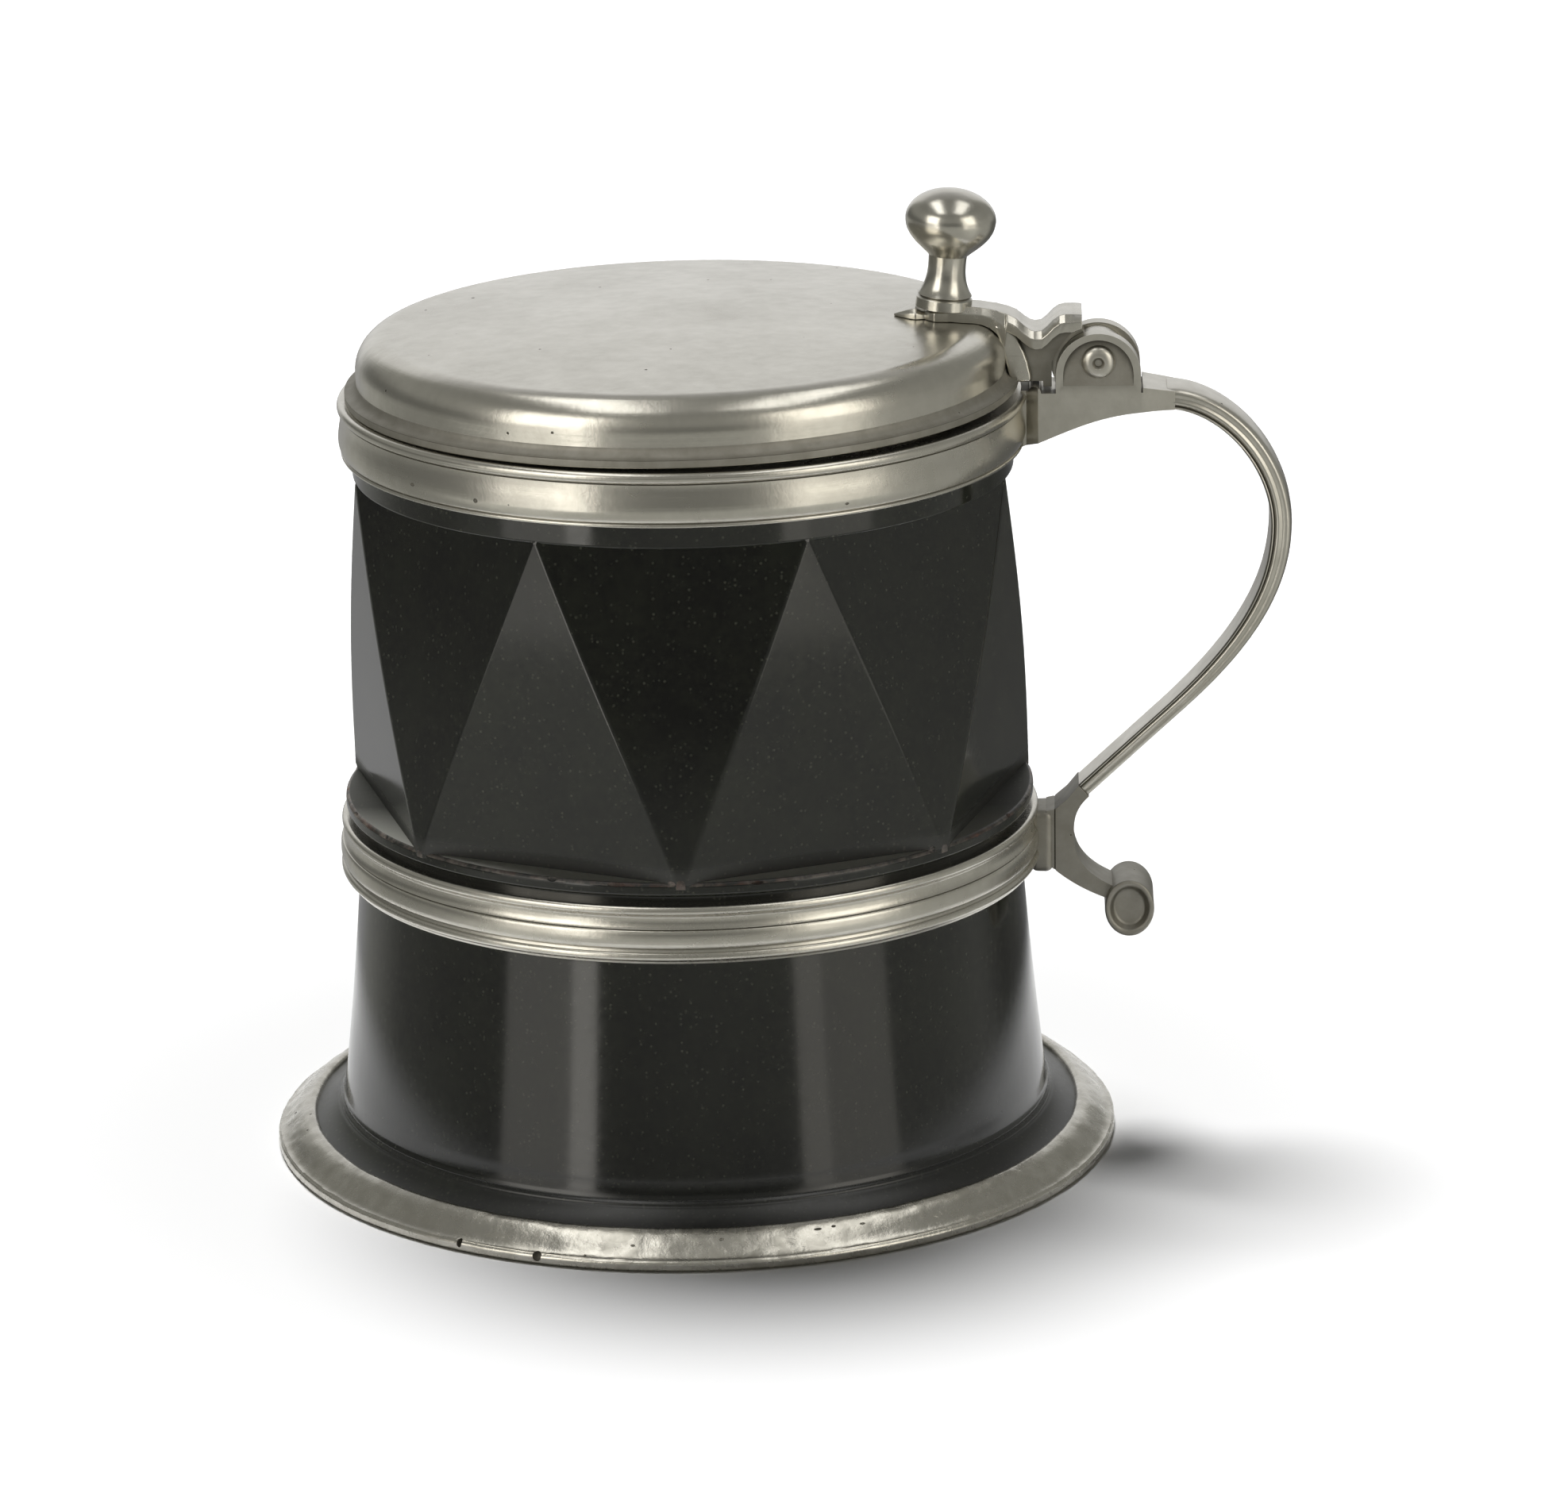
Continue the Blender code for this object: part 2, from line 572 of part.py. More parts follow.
def ribbon(line, thickness):
    """The outline of a strip of even thickness along a line."""
    points = [Vector(p) for p in line]
    edges = ([], [])
    for i, point in enumerate(points):
        ahead = points[min(i + 1, len(points) - 1)] - points[max(i - 1, 0)]
        across = Vector((-ahead.y, ahead.x)).normalized() * thickness / 2
        edges[0].append(tuple(point + across))
        edges[1].append(tuple(point - across))
    return edges[0] + edges[1][::-1]


def make_handle(parts, pewter):
    """The strap handle, its root on the middle band, and the rolled end of its tail."""
    line = handle_line()
    handle = flat_piece("handle_strap", ribbon(line, HANDLE_THICKNESS), HANDLE_WIDTH, parts, pewter)
    round_edges(handle, HANDLE_EDGE)

    hold = BAND_OUTER + SOLDER_GAP
    spread = degrees(asin(PAD_WIDTH / 2 / hold))
    plan = [*arc((0, 0), hold, spread, -spread), (PAD_FACE, -PAD_WIDTH / 2), (PAD_FACE, PAD_WIDTH / 2)]
    pad = flat_piece("band_pad", plan, PAD_HEIGHT, parts, pewter, middle=BAND_MIDDLE, lying=True)
    round_edges(pad)

    run = Vector((cos(RUN_ANGLE), sin(RUN_ANGLE)))
    across = Vector((-run.y, run.x)) * HANDLE_THICKNESS / 2
    joint = Vector(line[-1]) - SOLDER_GAP * run
    waist = Vector((ROOT_FACE + ROOT_THICKNESS, BAND_MIDDLE))
    above = waist + Vector((0, PAD_HEIGHT / 4))
    curl = arc((SCROLL_X, SCROLL_Z), SCROLL_RADIUS + SOLDER_GAP, *TAIL_MEETS)
    sole = (ROOT_FACE, BAND_BOTTOM - SOLE_DROP)
    outline = [
        *bezier(joint - across, joint - across - END_REACH * run, above, waist),
        *swept(waist, curl[0], TAIL_TOP_CURVE)[1:],
        *curl[1:],
        *swept(curl[-1], sole, TAIL_SOLE_CURVE)[1:],
        (ROOT_FACE, BAND_TOP + ROOT_RISE),
        tuple(joint + across),
    ]
    tail = flat_piece("handle_tail", outline, HANDLE_WIDTH, parts, pewter)
    round_edges(tail)

    half = SCROLL_WIDTH / 2
    rim = SCROLL_RADIUS - SCROLL_WALL
    end = [(0, half - SCROLL_RECESS), (rim, half - SCROLL_RECESS), (rim, half), (SCROLL_RADIUS, half)]
    profile = [*end, *[(r, -y) for r, y in reversed(end)]]
    scroll = turned("handle_scroll", profile, parts, pewter, closed=False, steps=SMALL_STEPS)
    place = Matrix.Translation((SCROLL_X, 0, SCROLL_Z))
    scroll.matrix_world = place @ Matrix.Rotation(pi / 2, 4, "X")


def main():
    for old in list(bpy.data.objects):
        bpy.data.objects.remove(old)
    parts = bpy.data.collections.new("lidded_tankard")
    helpers = bpy.data.collections.new("cutters")
    for collection in (parts, helpers):
        bpy.context.scene.collection.children.link(collection)
    stone = make_material("serpentine_stone", (0.011, 0.012, 0.010), 0.32, 0.0)
    pewter = make_material("turned_pewter", (0.42, 0.41, 0.37), 0.33, 1.0)
    worn_pewter = make_material("pitted_pewter", (0.36, 0.35, 0.32), 0.42, 1.0)
    make_stone(parts, helpers, stone)
    make_rings(parts, pewter, worn_pewter)
    make_hinge(parts, helpers, pewter)
    make_handle(parts, pewter)
    axis = add_object("lid_hinge_axis", None, parts)
    axis.location = PIN
    for piece in (
        make_lid(parts, pewter),
        make_lid_strap(parts, helpers, pewter),
        make_thumbpiece(parts, pewter),
    ):
        piece.parent = axis
        piece.matrix_parent_inverse = Matrix.Translation(-PIN)


main()
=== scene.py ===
"""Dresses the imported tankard: a polished stone body in worn pewter mounts, on a plain studio floor."""

import json
import random
from math import asin, atan2, cos, exp, pi, radians, sin, sqrt, tan

import bpy
from bpy.props import FloatProperty, FloatVectorProperty, IntProperty, PointerProperty
from mathutils import Matrix, Vector


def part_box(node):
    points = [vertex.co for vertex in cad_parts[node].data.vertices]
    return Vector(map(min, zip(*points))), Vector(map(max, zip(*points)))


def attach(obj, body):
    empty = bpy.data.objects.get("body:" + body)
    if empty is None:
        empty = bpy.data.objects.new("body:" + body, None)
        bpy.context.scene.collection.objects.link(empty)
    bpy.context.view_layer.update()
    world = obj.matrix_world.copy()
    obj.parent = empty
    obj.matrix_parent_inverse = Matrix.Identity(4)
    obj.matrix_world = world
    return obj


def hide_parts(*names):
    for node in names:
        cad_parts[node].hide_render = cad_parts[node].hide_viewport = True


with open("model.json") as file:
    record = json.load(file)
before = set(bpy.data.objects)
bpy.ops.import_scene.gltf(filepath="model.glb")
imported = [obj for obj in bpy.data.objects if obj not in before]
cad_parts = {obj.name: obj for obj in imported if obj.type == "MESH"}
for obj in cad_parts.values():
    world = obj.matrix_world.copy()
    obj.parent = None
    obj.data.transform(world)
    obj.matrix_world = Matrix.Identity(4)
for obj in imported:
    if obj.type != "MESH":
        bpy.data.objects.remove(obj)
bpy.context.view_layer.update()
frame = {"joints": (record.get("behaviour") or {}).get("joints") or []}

bl_info = {
    "name": "Lidded tankard",
    "version": (1, 0, 0),
    "blender": (4, 5, 0),
    "location": "3D View > Sidebar > Tankard",
    "description": "Models a stone tankard with pewter mounts and a hinged lid around its packed frame",
    "category": "Mesh",
}

MM = 0.001
TURN_STEPS = 224  # faces round a turned piece
SMALL_STEPS = 72  # faces round the pin, the scroll and the thumbpiece

# Sizes that more than one piece needs, in millimetres
BORE = 43.55  # radius of the vessel's inside
PIN_HOLE = 1.45  # radius of the hole for the hinge's pin
LID_FLANGE = 1.3  # thickness of the lid's flange
LID_COVE = 1.6  # height of the cove over it
LID_SIDE = 1.8  # height of the lid's upright side
LID_SETBACK = 1.9  # from the flange's edge in to the side
LID_SHOULDER = 5.6  # radius of the lid's shoulder


def linear(code):
    """Linear colour from an sRGB hex value."""
    parts = [int(code[i : i + 2], 16) / 255 for i in (1, 3, 5)]
    return tuple(c / 12.92 if c <= 0.04045 else ((c + 0.055) / 1.055) ** 2.4 for c in parts)


def node_box(name):
    """The lowest and highest corners of a CAD node, in millimetres."""
    return [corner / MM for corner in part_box(name)]


PIN = Vector(frame["joints"][0]["pos_m"]) / MM
# The lid doesn't lie quite level: it stands higher at its hinge, as if turned about this point
LID_REST = Vector((-14, 0, 126.4))
LID_TILT = radians(0.55)


class TANKARD_PG_stone(bpy.types.PropertyGroup):
    facet_wear: FloatProperty(
        name="Facet wear",
        description="Width of the worn edge between two facets",
        default=0.00045,
        unit="LENGTH",
        precision=5,
    )
    line_depth: FloatProperty(
        name="Line depth",
        description="Depth of the lines turned into the stone over its foot",
        default=0.00014,
        unit="LENGTH",
        precision=5,
    )
    chips: IntProperty(
        name="Chips", description="Flakes broken from the edge of the ledge", default=46, min=0
    )
    dark: FloatVectorProperty(
        name="Ground mass",
        description="The near-black mass of the stone",
        subtype="COLOR",
        default=linear("#0b0c08"),
    )
    cloud: FloatVectorProperty(
        name="Clouds",
        description="Greyer green clouds in the stone",
        subtype="COLOR",
        default=linear("#1b1d14"),
    )
    grain: FloatVectorProperty(
        name="Grains",
        description="Light grains and flecks in the stone",
        subtype="COLOR",
        default=linear("#3f4036"),
    )
    broken: FloatVectorProperty(
        name="Broken stone",
        description="Dull stone where a flake has come off",
        subtype="COLOR",
        default=linear("#857a70"),
    )
    # So pale that on the shaded front of the ledge it stands in for light
    pale_dust_and_light: FloatVectorProperty(
        name="Dust",
        description="Grey dust and wax on the ledge and in the corner over it",
        subtype="COLOR",
        default=linear("#dcdcd2"),
    )
    stain: FloatVectorProperty(
        name="Stained stone",
        description="Rust-brown stain in broken stone",
        subtype="COLOR",
        default=linear("#5c3524"),
    )


class TANKARD_PG_pewter(bpy.types.PropertyGroup):
    bright: FloatVectorProperty(
        name="Bright pewter",
        description="Pewter that hands have kept bright",
        subtype="COLOR",
        default=linear("#d7d4cb"),
    )
    dull: FloatVectorProperty(
        name="Dull pewter",
        description="Greyer oxidised patches",
        subtype="COLOR",
        default=linear("#b6b3a9"),
    )
    # Brown-grey for pits, also laid into corners as painted shade
    tarnish_and_shade: FloatVectorProperty(
        name="Tarnish",
        description="Brown-grey dirt in pits and corners",
        subtype="COLOR",
        default=linear("#4d4a41"),
    )


class TANKARD_PG_stage(bpy.types.PropertyGroup):
    camera_distance: FloatProperty(
        name="Camera distance",
        description="From the camera to the point that it looks at",
        default=1.1,
        unit="LENGTH",
    )
    camera_height: FloatProperty(
        name="Camera angle",
        description="How far the camera stands above the level",
        default=radians(16.62),
        subtype="ANGLE",
    )
    camera_turn: FloatProperty(
        name="Camera turn",
        description="How far the camera stands round towards the handle",
        default=radians(3),
        subtype="ANGLE",
    )
    camera_roll: FloatProperty(
        name="Camera roll", description="Tilt of the picture", default=radians(-0.95), subtype="ANGLE"
    )
    lens: FloatProperty(
        name="Lens",
        description="Focal length on a 36 mm wide sensor",
        default=153.6,
        subtype="DISTANCE_CAMERA",
    )
    paper: FloatVectorProperty(
        name="Paper", description="White paper under the object", subtype="COLOR", default=linear("#ededed")
    )


def bezier(a, b, c, d, count):
    points = []
    for i in range(count + 1):
        t = i / count
        weights = ((1 - t) ** 3, 3 * t * (1 - t) ** 2, 3 * t * t * (1 - t), t**3)
        points.append(tuple(sum(w * p[k] for w, p in zip(weights, (a, b, c, d))) for k in (0, 1)))
    return points


def swept(start, end, shares, count):
    """A curve whose middle control points are shares of the way from its start to its end."""
    middle = [[a + (b - a) * share for a, b, share in zip(start, end, pair)] for pair in shares]
    return bezier(start, *middle, end, count)


def arc(centre, radius, start, end, count):
    """Points on a circle from one angle to another, in degrees."""
    turn = [radians(start + (end - start) * i / count) for i in range(count + 1)]
    return [(centre[0] + radius * cos(a), centre[1] + radius * sin(a)) for a in turn]


def on_ring(out, degrees, z):
    """A place round the axis, from its radius, angle and height."""
    return (out * cos(radians(degrees)), out * sin(radians(degrees)), z)


def mirrored(half):
    """A profile about Y and its mirror image, from one half of it."""
    return [*half, *[(r, -y) for r, y in reversed(half)]]


def rounded(points, radius, count=4):
    """A line of points whose inner corners are rounded off."""
    made = [points[0]]
    for before, corner, after in zip(points, points[1:], points[2:]):
        a, b, c = (Vector(p) for p in (before, corner, after))
        cut = min(radius, (a - b).length * 0.45, (c - b).length * 0.45)
        start = b + (a - b).normalized() * cut
        end = b + (c - b).normalized() * cut
        made += bezier(start, start.lerp(b, 0.55), end.lerp(b, 0.55), end, count)
    made.append(points[-1])
    return made


def pick(piece):
    """Selects one piece alone and makes it the active one."""
    bpy.ops.object.select_all(action="DESELECT")
    piece.select_set(True)
    bpy.context.view_layer.objects.active = piece


def reshape(operator, **settings):
    """Runs one operator on the whole of the active piece in edit mode."""
    bpy.ops.object.mode_set(mode="EDIT")
    bpy.ops.mesh.select_all(action="SELECT")
    operator(**settings)
    bpy.ops.object.mode_set(mode="OBJECT")


def begin(name):
    """Starts a piece as one point at the origin and leaves it in edit mode."""
    bpy.ops.object.select_all(action="DESELECT")
    bpy.ops.mesh.primitive_plane_add(size=MM)
    piece = bpy.context.object
    piece.name = piece.data.name = name
    bpy.ops.object.mode_set(mode="EDIT")
    bpy.ops.mesh.select_all(action="SELECT")
    bpy.ops.mesh.merge(type="CENTER")
    return piece


def draw(points):
    """Moves the point to its first place and extrudes it through the others, in millimetres."""
    at = Vector((0, 0, 0))
    for i, point in enumerate(points):
        step = (Vector(point) - at) * MM
        if i == 0:
            bpy.ops.transform.translate(value=step)
        else:
            bpy.ops.mesh.extrude_vertices_move(TRANSFORM_OT_translate={"value": step})
        at = Vector(point)


def fill():
    """Makes one face of all the points that are drawn."""
    bpy.ops.mesh.select_all(action="SELECT")
    bpy.ops.mesh.edge_face_add()


def close_up():
    """Merges what meets, turns the faces outwards and leaves edit mode."""
    bpy.ops.mesh.select_all(action="SELECT")
    bpy.ops.mesh.remove_doubles(threshold=0.002 * MM)
    bpy.ops.mesh.normals_make_consistent(inside=False)
    bpy.ops.object.mode_set(mode="OBJECT")


def turned(name, profile, steps=TURN_STEPS, centre=None):
    """Turns a profile in millimetres: (radius, height) about Z, or (radius, side) about Y at a centre."""
    piece = begin(name)
    if centre is None:
        draw([(r, 0, z) for r, z in profile])
        middle, axis = (0, 0, 0), (0, 0, 1)
    else:
        draw([(centre.x + r, centre.y + y, centre.z) for r, y in profile])
        middle, axis = centre * MM, (0, 1, 0)
    bpy.ops.mesh.select_all(action="SELECT")
    bpy.ops.mesh.spin(steps=steps, angle=2 * pi, center=middle, axis=axis)
    close_up()
    return piece


def plate(name, outline, side, width, flat=False):
    """Cuts an outline in millimetres in the XZ plane and widens it along Y; a flat one lies in XY."""
    piece = begin(name)
    draw([(a, b, side) if flat else (a, side, b) for a, b in outline])
    fill()
    way = Vector((0, 0, 1) if flat else (0, 1, 0))
    bpy.ops.mesh.extrude_region_move(TRANSFORM_OT_translate={"value": way * width * MM})
    close_up()
    return piece


def run_along(name, section, line, sizes):
    """Extrudes a section of (side, out) points along a line in XZ, turning and resizing it on its way."""
    points = [Vector((x, 0, z)) for x, z in line]
    headings = []
    for i in range(len(points)):
        ahead = points[min(i + 1, len(points) - 1)] - points[max(i - 1, 0)]
        headings.append(atan2(ahead.z, ahead.x))
    out = Vector((-sin(headings[0]), 0, cos(headings[0])))
    piece = begin(name)
    draw([points[0] + out * o + Vector((0, side, 0)) for side, o in section])
    fill()
    for i in range(1, len(points)):
        step = (points[i] - points[i - 1]) * MM
        bpy.ops.mesh.extrude_region_move(TRANSFORM_OT_translate={"value": step})
        bpy.ops.transform.rotate(
            value=headings[i] - headings[i - 1], orient_axis="Y", center_override=points[i] * MM
        )
        change = sizes[i] / sizes[i - 1]
        bpy.ops.transform.resize(value=(change, change, change), center_override=points[i] * MM)
    close_up()
    return piece


def drawn_out(name, stations):
    """Extrudes a chamfered bar from one (place, half width, bottom, top) along X to the next."""
    piece = begin(name)
    x, half, low, high = stations[0]
    edge, crest = low + (high - low) * 0.6, half * 0.74
    section = [(-half, low), (half, low), (half, edge), (crest, high), (-crest, high), (-half, edge)]
    draw([(x, y, z) for y, z in section])
    fill()
    for before, after in zip(stations, stations[1:]):
        middle = [(s[2] + s[3]) / 2 for s in (before, after)]
        step = Vector((after[0] - before[0], 0, middle[1] - middle[0])) * MM
        bpy.ops.mesh.extrude_region_move(TRANSFORM_OT_translate={"value": step})
        bpy.ops.transform.resize(
            value=(1, after[1] / before[1], (after[3] - after[2]) / (before[3] - before[2])),
            center_override=(after[0] * MM, 0, middle[1] * MM),
        )
    close_up()
    return piece


def modify(piece, kind, **settings):
    """Adds a modifier to a piece and applies it."""
    pick(piece)
    step = piece.modifiers.new(kind.title(), kind)
    for name, value in settings.items():
        setattr(step, name, value)
    bpy.ops.object.modifier_apply(modifier=step.name)


def combine(piece, other, operation):
    """Joins or cuts a piece with another, which is used up."""
    modify(piece, "BOOLEAN", operation=operation, object=other, solver="EXACT", material_mode="TRANSFER")
    bpy.data.objects.remove(other)


def soften(piece, width, angle=30, segments=2):
    """Rounds the edges of a cast piece, by a width in millimetres."""
    modify(
        piece,
        "BEVEL",
        width=width * MM,
        segments=segments,
        limit_method="ANGLE",
        angle_limit=radians(angle),
        harden_normals=False,
    )


def shade(piece, angle=30):
    """Smooth faces up to an angle, and flat ones kept flat."""
    pick(piece)
    bpy.ops.object.shade_smooth_by_angle(angle=radians(angle))
    modify(piece, "WEIGHTED_NORMAL", keep_sharp=True, weight=50)


def carve(piece, spots, material, seed):
    """Breaks hollows out of a piece; a spot is its place and its size out, across and up."""
    made = []
    for place, size in spots:
        bpy.ops.object.select_all(action="DESELECT")
        bpy.ops.mesh.primitive_ico_sphere_add(
            subdivisions=2,
            radius=1,
            location=Vector(place) * MM,
            rotation=(0, 0, atan2(place[1], place[0])),
            scale=Vector(size) * MM,
        )
        made.append(bpy.context.object)
    for flake in made:
        flake.select_set(True)
    bpy.ops.object.join()
    flakes = bpy.context.object
    bpy.ops.object.transform_apply(location=True, rotation=True, scale=True)
    flakes.data.materials.append(material)
    uneven = 0.12 * min(min(size) for place, size in spots)
    reshape(bpy.ops.transform.vertex_random, offset=uneven * MM, seed=seed)
    combine(piece, flakes, "DIFFERENCE")


def drill(piece):
    """Drills the hole for the hinge's pin."""
    reach = 9
    line = [(0, -reach), (PIN_HOLE, -reach), (PIN_HOLE, reach), (0, reach)]
    combine(piece, turned("pin_hole", line, SMALL_STEPS, PIN), "DIFFERENCE")


def hammer(piece, depth, spacing, above, fade=0.6):
    """Leaves shallow marks, by a depth and spacing in millimetres, on what stands above a height."""
    marks = bpy.data.textures.new(piece.name + "_marks", "CLOUDS")
    marks.noise_scale = spacing * MM
    marks.noise_depth = 2
    group = piece.vertex_groups.new(name="hammered")
    for vertex in piece.data.vertices:
        share = min(max((vertex.co.z / MM - above) / fade, 0), 1)
        group.add([vertex.index], share, "REPLACE")
    modify(
        piece,
        "DISPLACE",
        texture=marks,
        texture_coords="LOCAL",
        vertex_group=group.name,
        strength=depth * MM,
        mid_level=0.5,
    )


def hand_over(piece, body, slot, material, *nodes):
    """Dresses a piece, lets it ride on a body and stand for the CAD nodes."""
    if not piece.data.polygons:
        raise RuntimeError(f"{piece.name} has no faces")
    if not piece.data.materials:
        piece.data.materials.append(material)
    else:
        piece.data.materials[0] = material
    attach(piece, body)
    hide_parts(*nodes)


def add_node(tree, kind, settings=None, inputs=None):
    """Adds a shader node; an input that is a socket is linked, and any other is set."""
    made = tree.nodes.new("ShaderNode" + kind)
    for name, value in (settings or {}).items():
        setattr(made, name, value)
    for name, value in (inputs or {}).items():
        if isinstance(value, bpy.types.NodeSocket):
            tree.links.new(value, made.inputs[name])
        else:
            made.inputs[name].default_value = value
    return made


def new_material(name):
    """An empty material with its shader, and the tree to draw in."""
    made = bpy.data.materials.new(name)
    made.use_nodes = True
    return made, made.node_tree, made.node_tree.nodes["Principled BSDF"]


def pewter_material(context, name, rough, turning=0.0, mottle=0.3, pits=0.3, grime_and_shade=0.6, tarnished=0.0):
    """Pewter: soft grey metal that dulls in patches and keeps tool marks; corners are darkened, partly as
    real soiling and partly as painted shade.
    """
    colours = context.scene.tankard_pewter
    made, tree, shader = new_material(name)
    place = add_node(tree, "TexCoord").outputs["Object"]
    # Dull patches about 16 mm wide, broken up by blotches of 3 mm
    patches = add_node(
        tree, "TexNoise", inputs={"Vector": place, "Scale": 1 / 0.016, "Detail": 3.0, "Roughness": 0.55}
    )
    blotches = add_node(
        tree, "TexNoise", inputs={"Vector": place, "Scale": 1 / 0.003, "Detail": 4.0, "Roughness": 0.62}
    )
    blend = add_node(
        tree,
        "Mix",
        {"data_type": "FLOAT"},
        {0: 0.35 + 0.4 * mottle, 2: patches.outputs["Fac"], 3: blotches.outputs["Fac"]},
    )
    spread = 0.13 + 0.2 * (1 - mottle)
    dull = add_node(
        tree,
        "MapRange",
        inputs={"Value": blend.outputs[0], "From Min": 0.5 - spread, "From Max": 0.5 + spread},
    )
    # Turning marks round the axis, drawn 0.5 mm apart where real ones are finer
    apart = add_node(tree, "SeparateXYZ", inputs={0: place})
    reach = add_node(
        tree,
        "VectorMath",
        {"operation": "LENGTH"},
        {0: add_node(tree, "CombineXYZ", inputs={0: apart.outputs[0], 1: apart.outputs[1]}).outputs[0]},
    )
    round_axis = add_node(tree, "CombineXYZ", inputs={0: reach.outputs["Value"], 2: apart.outputs[2]})
    marks = add_node(
        tree, "TexNoise", inputs={"Vector": round_axis.outputs[0], "Scale": 1 / 0.0005, "Detail": 2.0}
    )
    # Scratches about 12 mm long and less than 0.4 mm wide
    along = add_node(
        tree,
        "Mapping",
        inputs={"Vector": place, "Rotation": (0.5, 0.3, 0.6), "Scale": (1 / 0.012, 1 / 0.0004, 1 / 0.0004)},
    )
    lines = add_node(tree, "TexNoise", inputs={"Vector": along.outputs[0], "Scale": 1.0, "Detail": 1.0})
    scratches = add_node(
        tree, "MapRange", inputs={"Value": lines.outputs["Fac"], "From Min": 0.69, "From Max": 0.76}
    )
    # Pits up to 0.7 mm across in some of the cells of 3.5 mm
    cells = add_node(tree, "TexVoronoi", inputs={"Vector": place, "Scale": 1 / 0.0035})
    chance = add_node(tree, "SeparateXYZ", inputs={0: cells.outputs["Color"]})
    width = add_node(
        tree,
        "MapRange",
        inputs={"Value": chance.outputs[0], "From Min": 1 - pits, "To Min": 0.0, "To Max": 0.11},
    )
    pit = add_node(
        tree,
        "MapRange",
        {"interpolation_type": "SMOOTHSTEP"},
        {
            "Value": add_node(
                tree, "Math", {"operation": "SUBTRACT"}, {0: width.outputs[0], 1: cells.outputs["Distance"]}
            ).outputs[0],
            "From Min": 0.0,
            "From Max": 0.05,
        },
    )
    # Corners narrower than 1.6 mm darken from ambient occlusion: partly soiling, partly painted shade
    corner = add_node(tree, "AmbientOcclusion", {"samples": 6, "only_local": True}, {"Distance": 0.0016})
    dirt_and_shade = add_node(
        tree,
        "MapRange",
        inputs={
            "Value": corner.outputs["AO"],
            "From Min": 0.85,
            "From Max": 0.35,
            "To Min": tarnished,
            "To Max": max(grime_and_shade, tarnished),
        },
    )
    dark = add_node(tree, "Math", {"operation": "MAXIMUM"}, {0: dirt_and_shade.outputs[0], 1: pit.outputs[0]})
    colour = add_node(
        tree,
        "Mix",
        {"data_type": "RGBA"},
        {0: dull.outputs[0], 6: (*colours.bright, 1), 7: (*colours.dull, 1)},
    )
    dirty_and_shaded = add_node(
        tree,
        "Mix",
        {"data_type": "RGBA"},
        {0: dark.outputs[0], 6: colour.outputs[2], 7: (*colours.tarnish_and_shade, 1)},
    )
    tree.links.new(dirty_and_shaded.outputs[2], shader.inputs["Base Color"])
    shader.inputs["Metallic"].default_value = 1.0
    worn = add_node(
        tree,
        "MapRange",
        inputs={"Value": dull.outputs[0], "To Min": rough - 0.04, "To Max": rough + 0.06},
    )
    matt = add_node(
        tree, "Math", {"operation": "MULTIPLY_ADD"}, {0: dark.outputs[0], 1: 0.25, 2: worn.outputs[0]}
    )
    tree.links.new(matt.outputs[0], shader.inputs["Roughness"])
    height = add_node(
        tree,
        "Math",
        {"operation": "MULTIPLY_ADD"},
        {0: marks.outputs["Fac"], 1: turning, 2: blotches.outputs["Fac"]},
    )
    height = add_node(
        tree,
        "Math",
        {"operation": "MULTIPLY_ADD"},
        {0: scratches.outputs[0], 1: -0.12, 2: height.outputs[0]},
    )
    height = add_node(
        tree, "Math", {"operation": "MULTIPLY_ADD"}, {0: pit.outputs[0], 1: -1.5, 2: height.outputs[0]}
    )
    relief = add_node(
        tree,
        "Bump",
        inputs={"Height": height.outputs[0], "Strength": 0.25 + 0.6 * mottle, "Distance": 0.00012},
    )
    tree.links.new(relief.outputs[0], shader.inputs["Normal"])
    return made


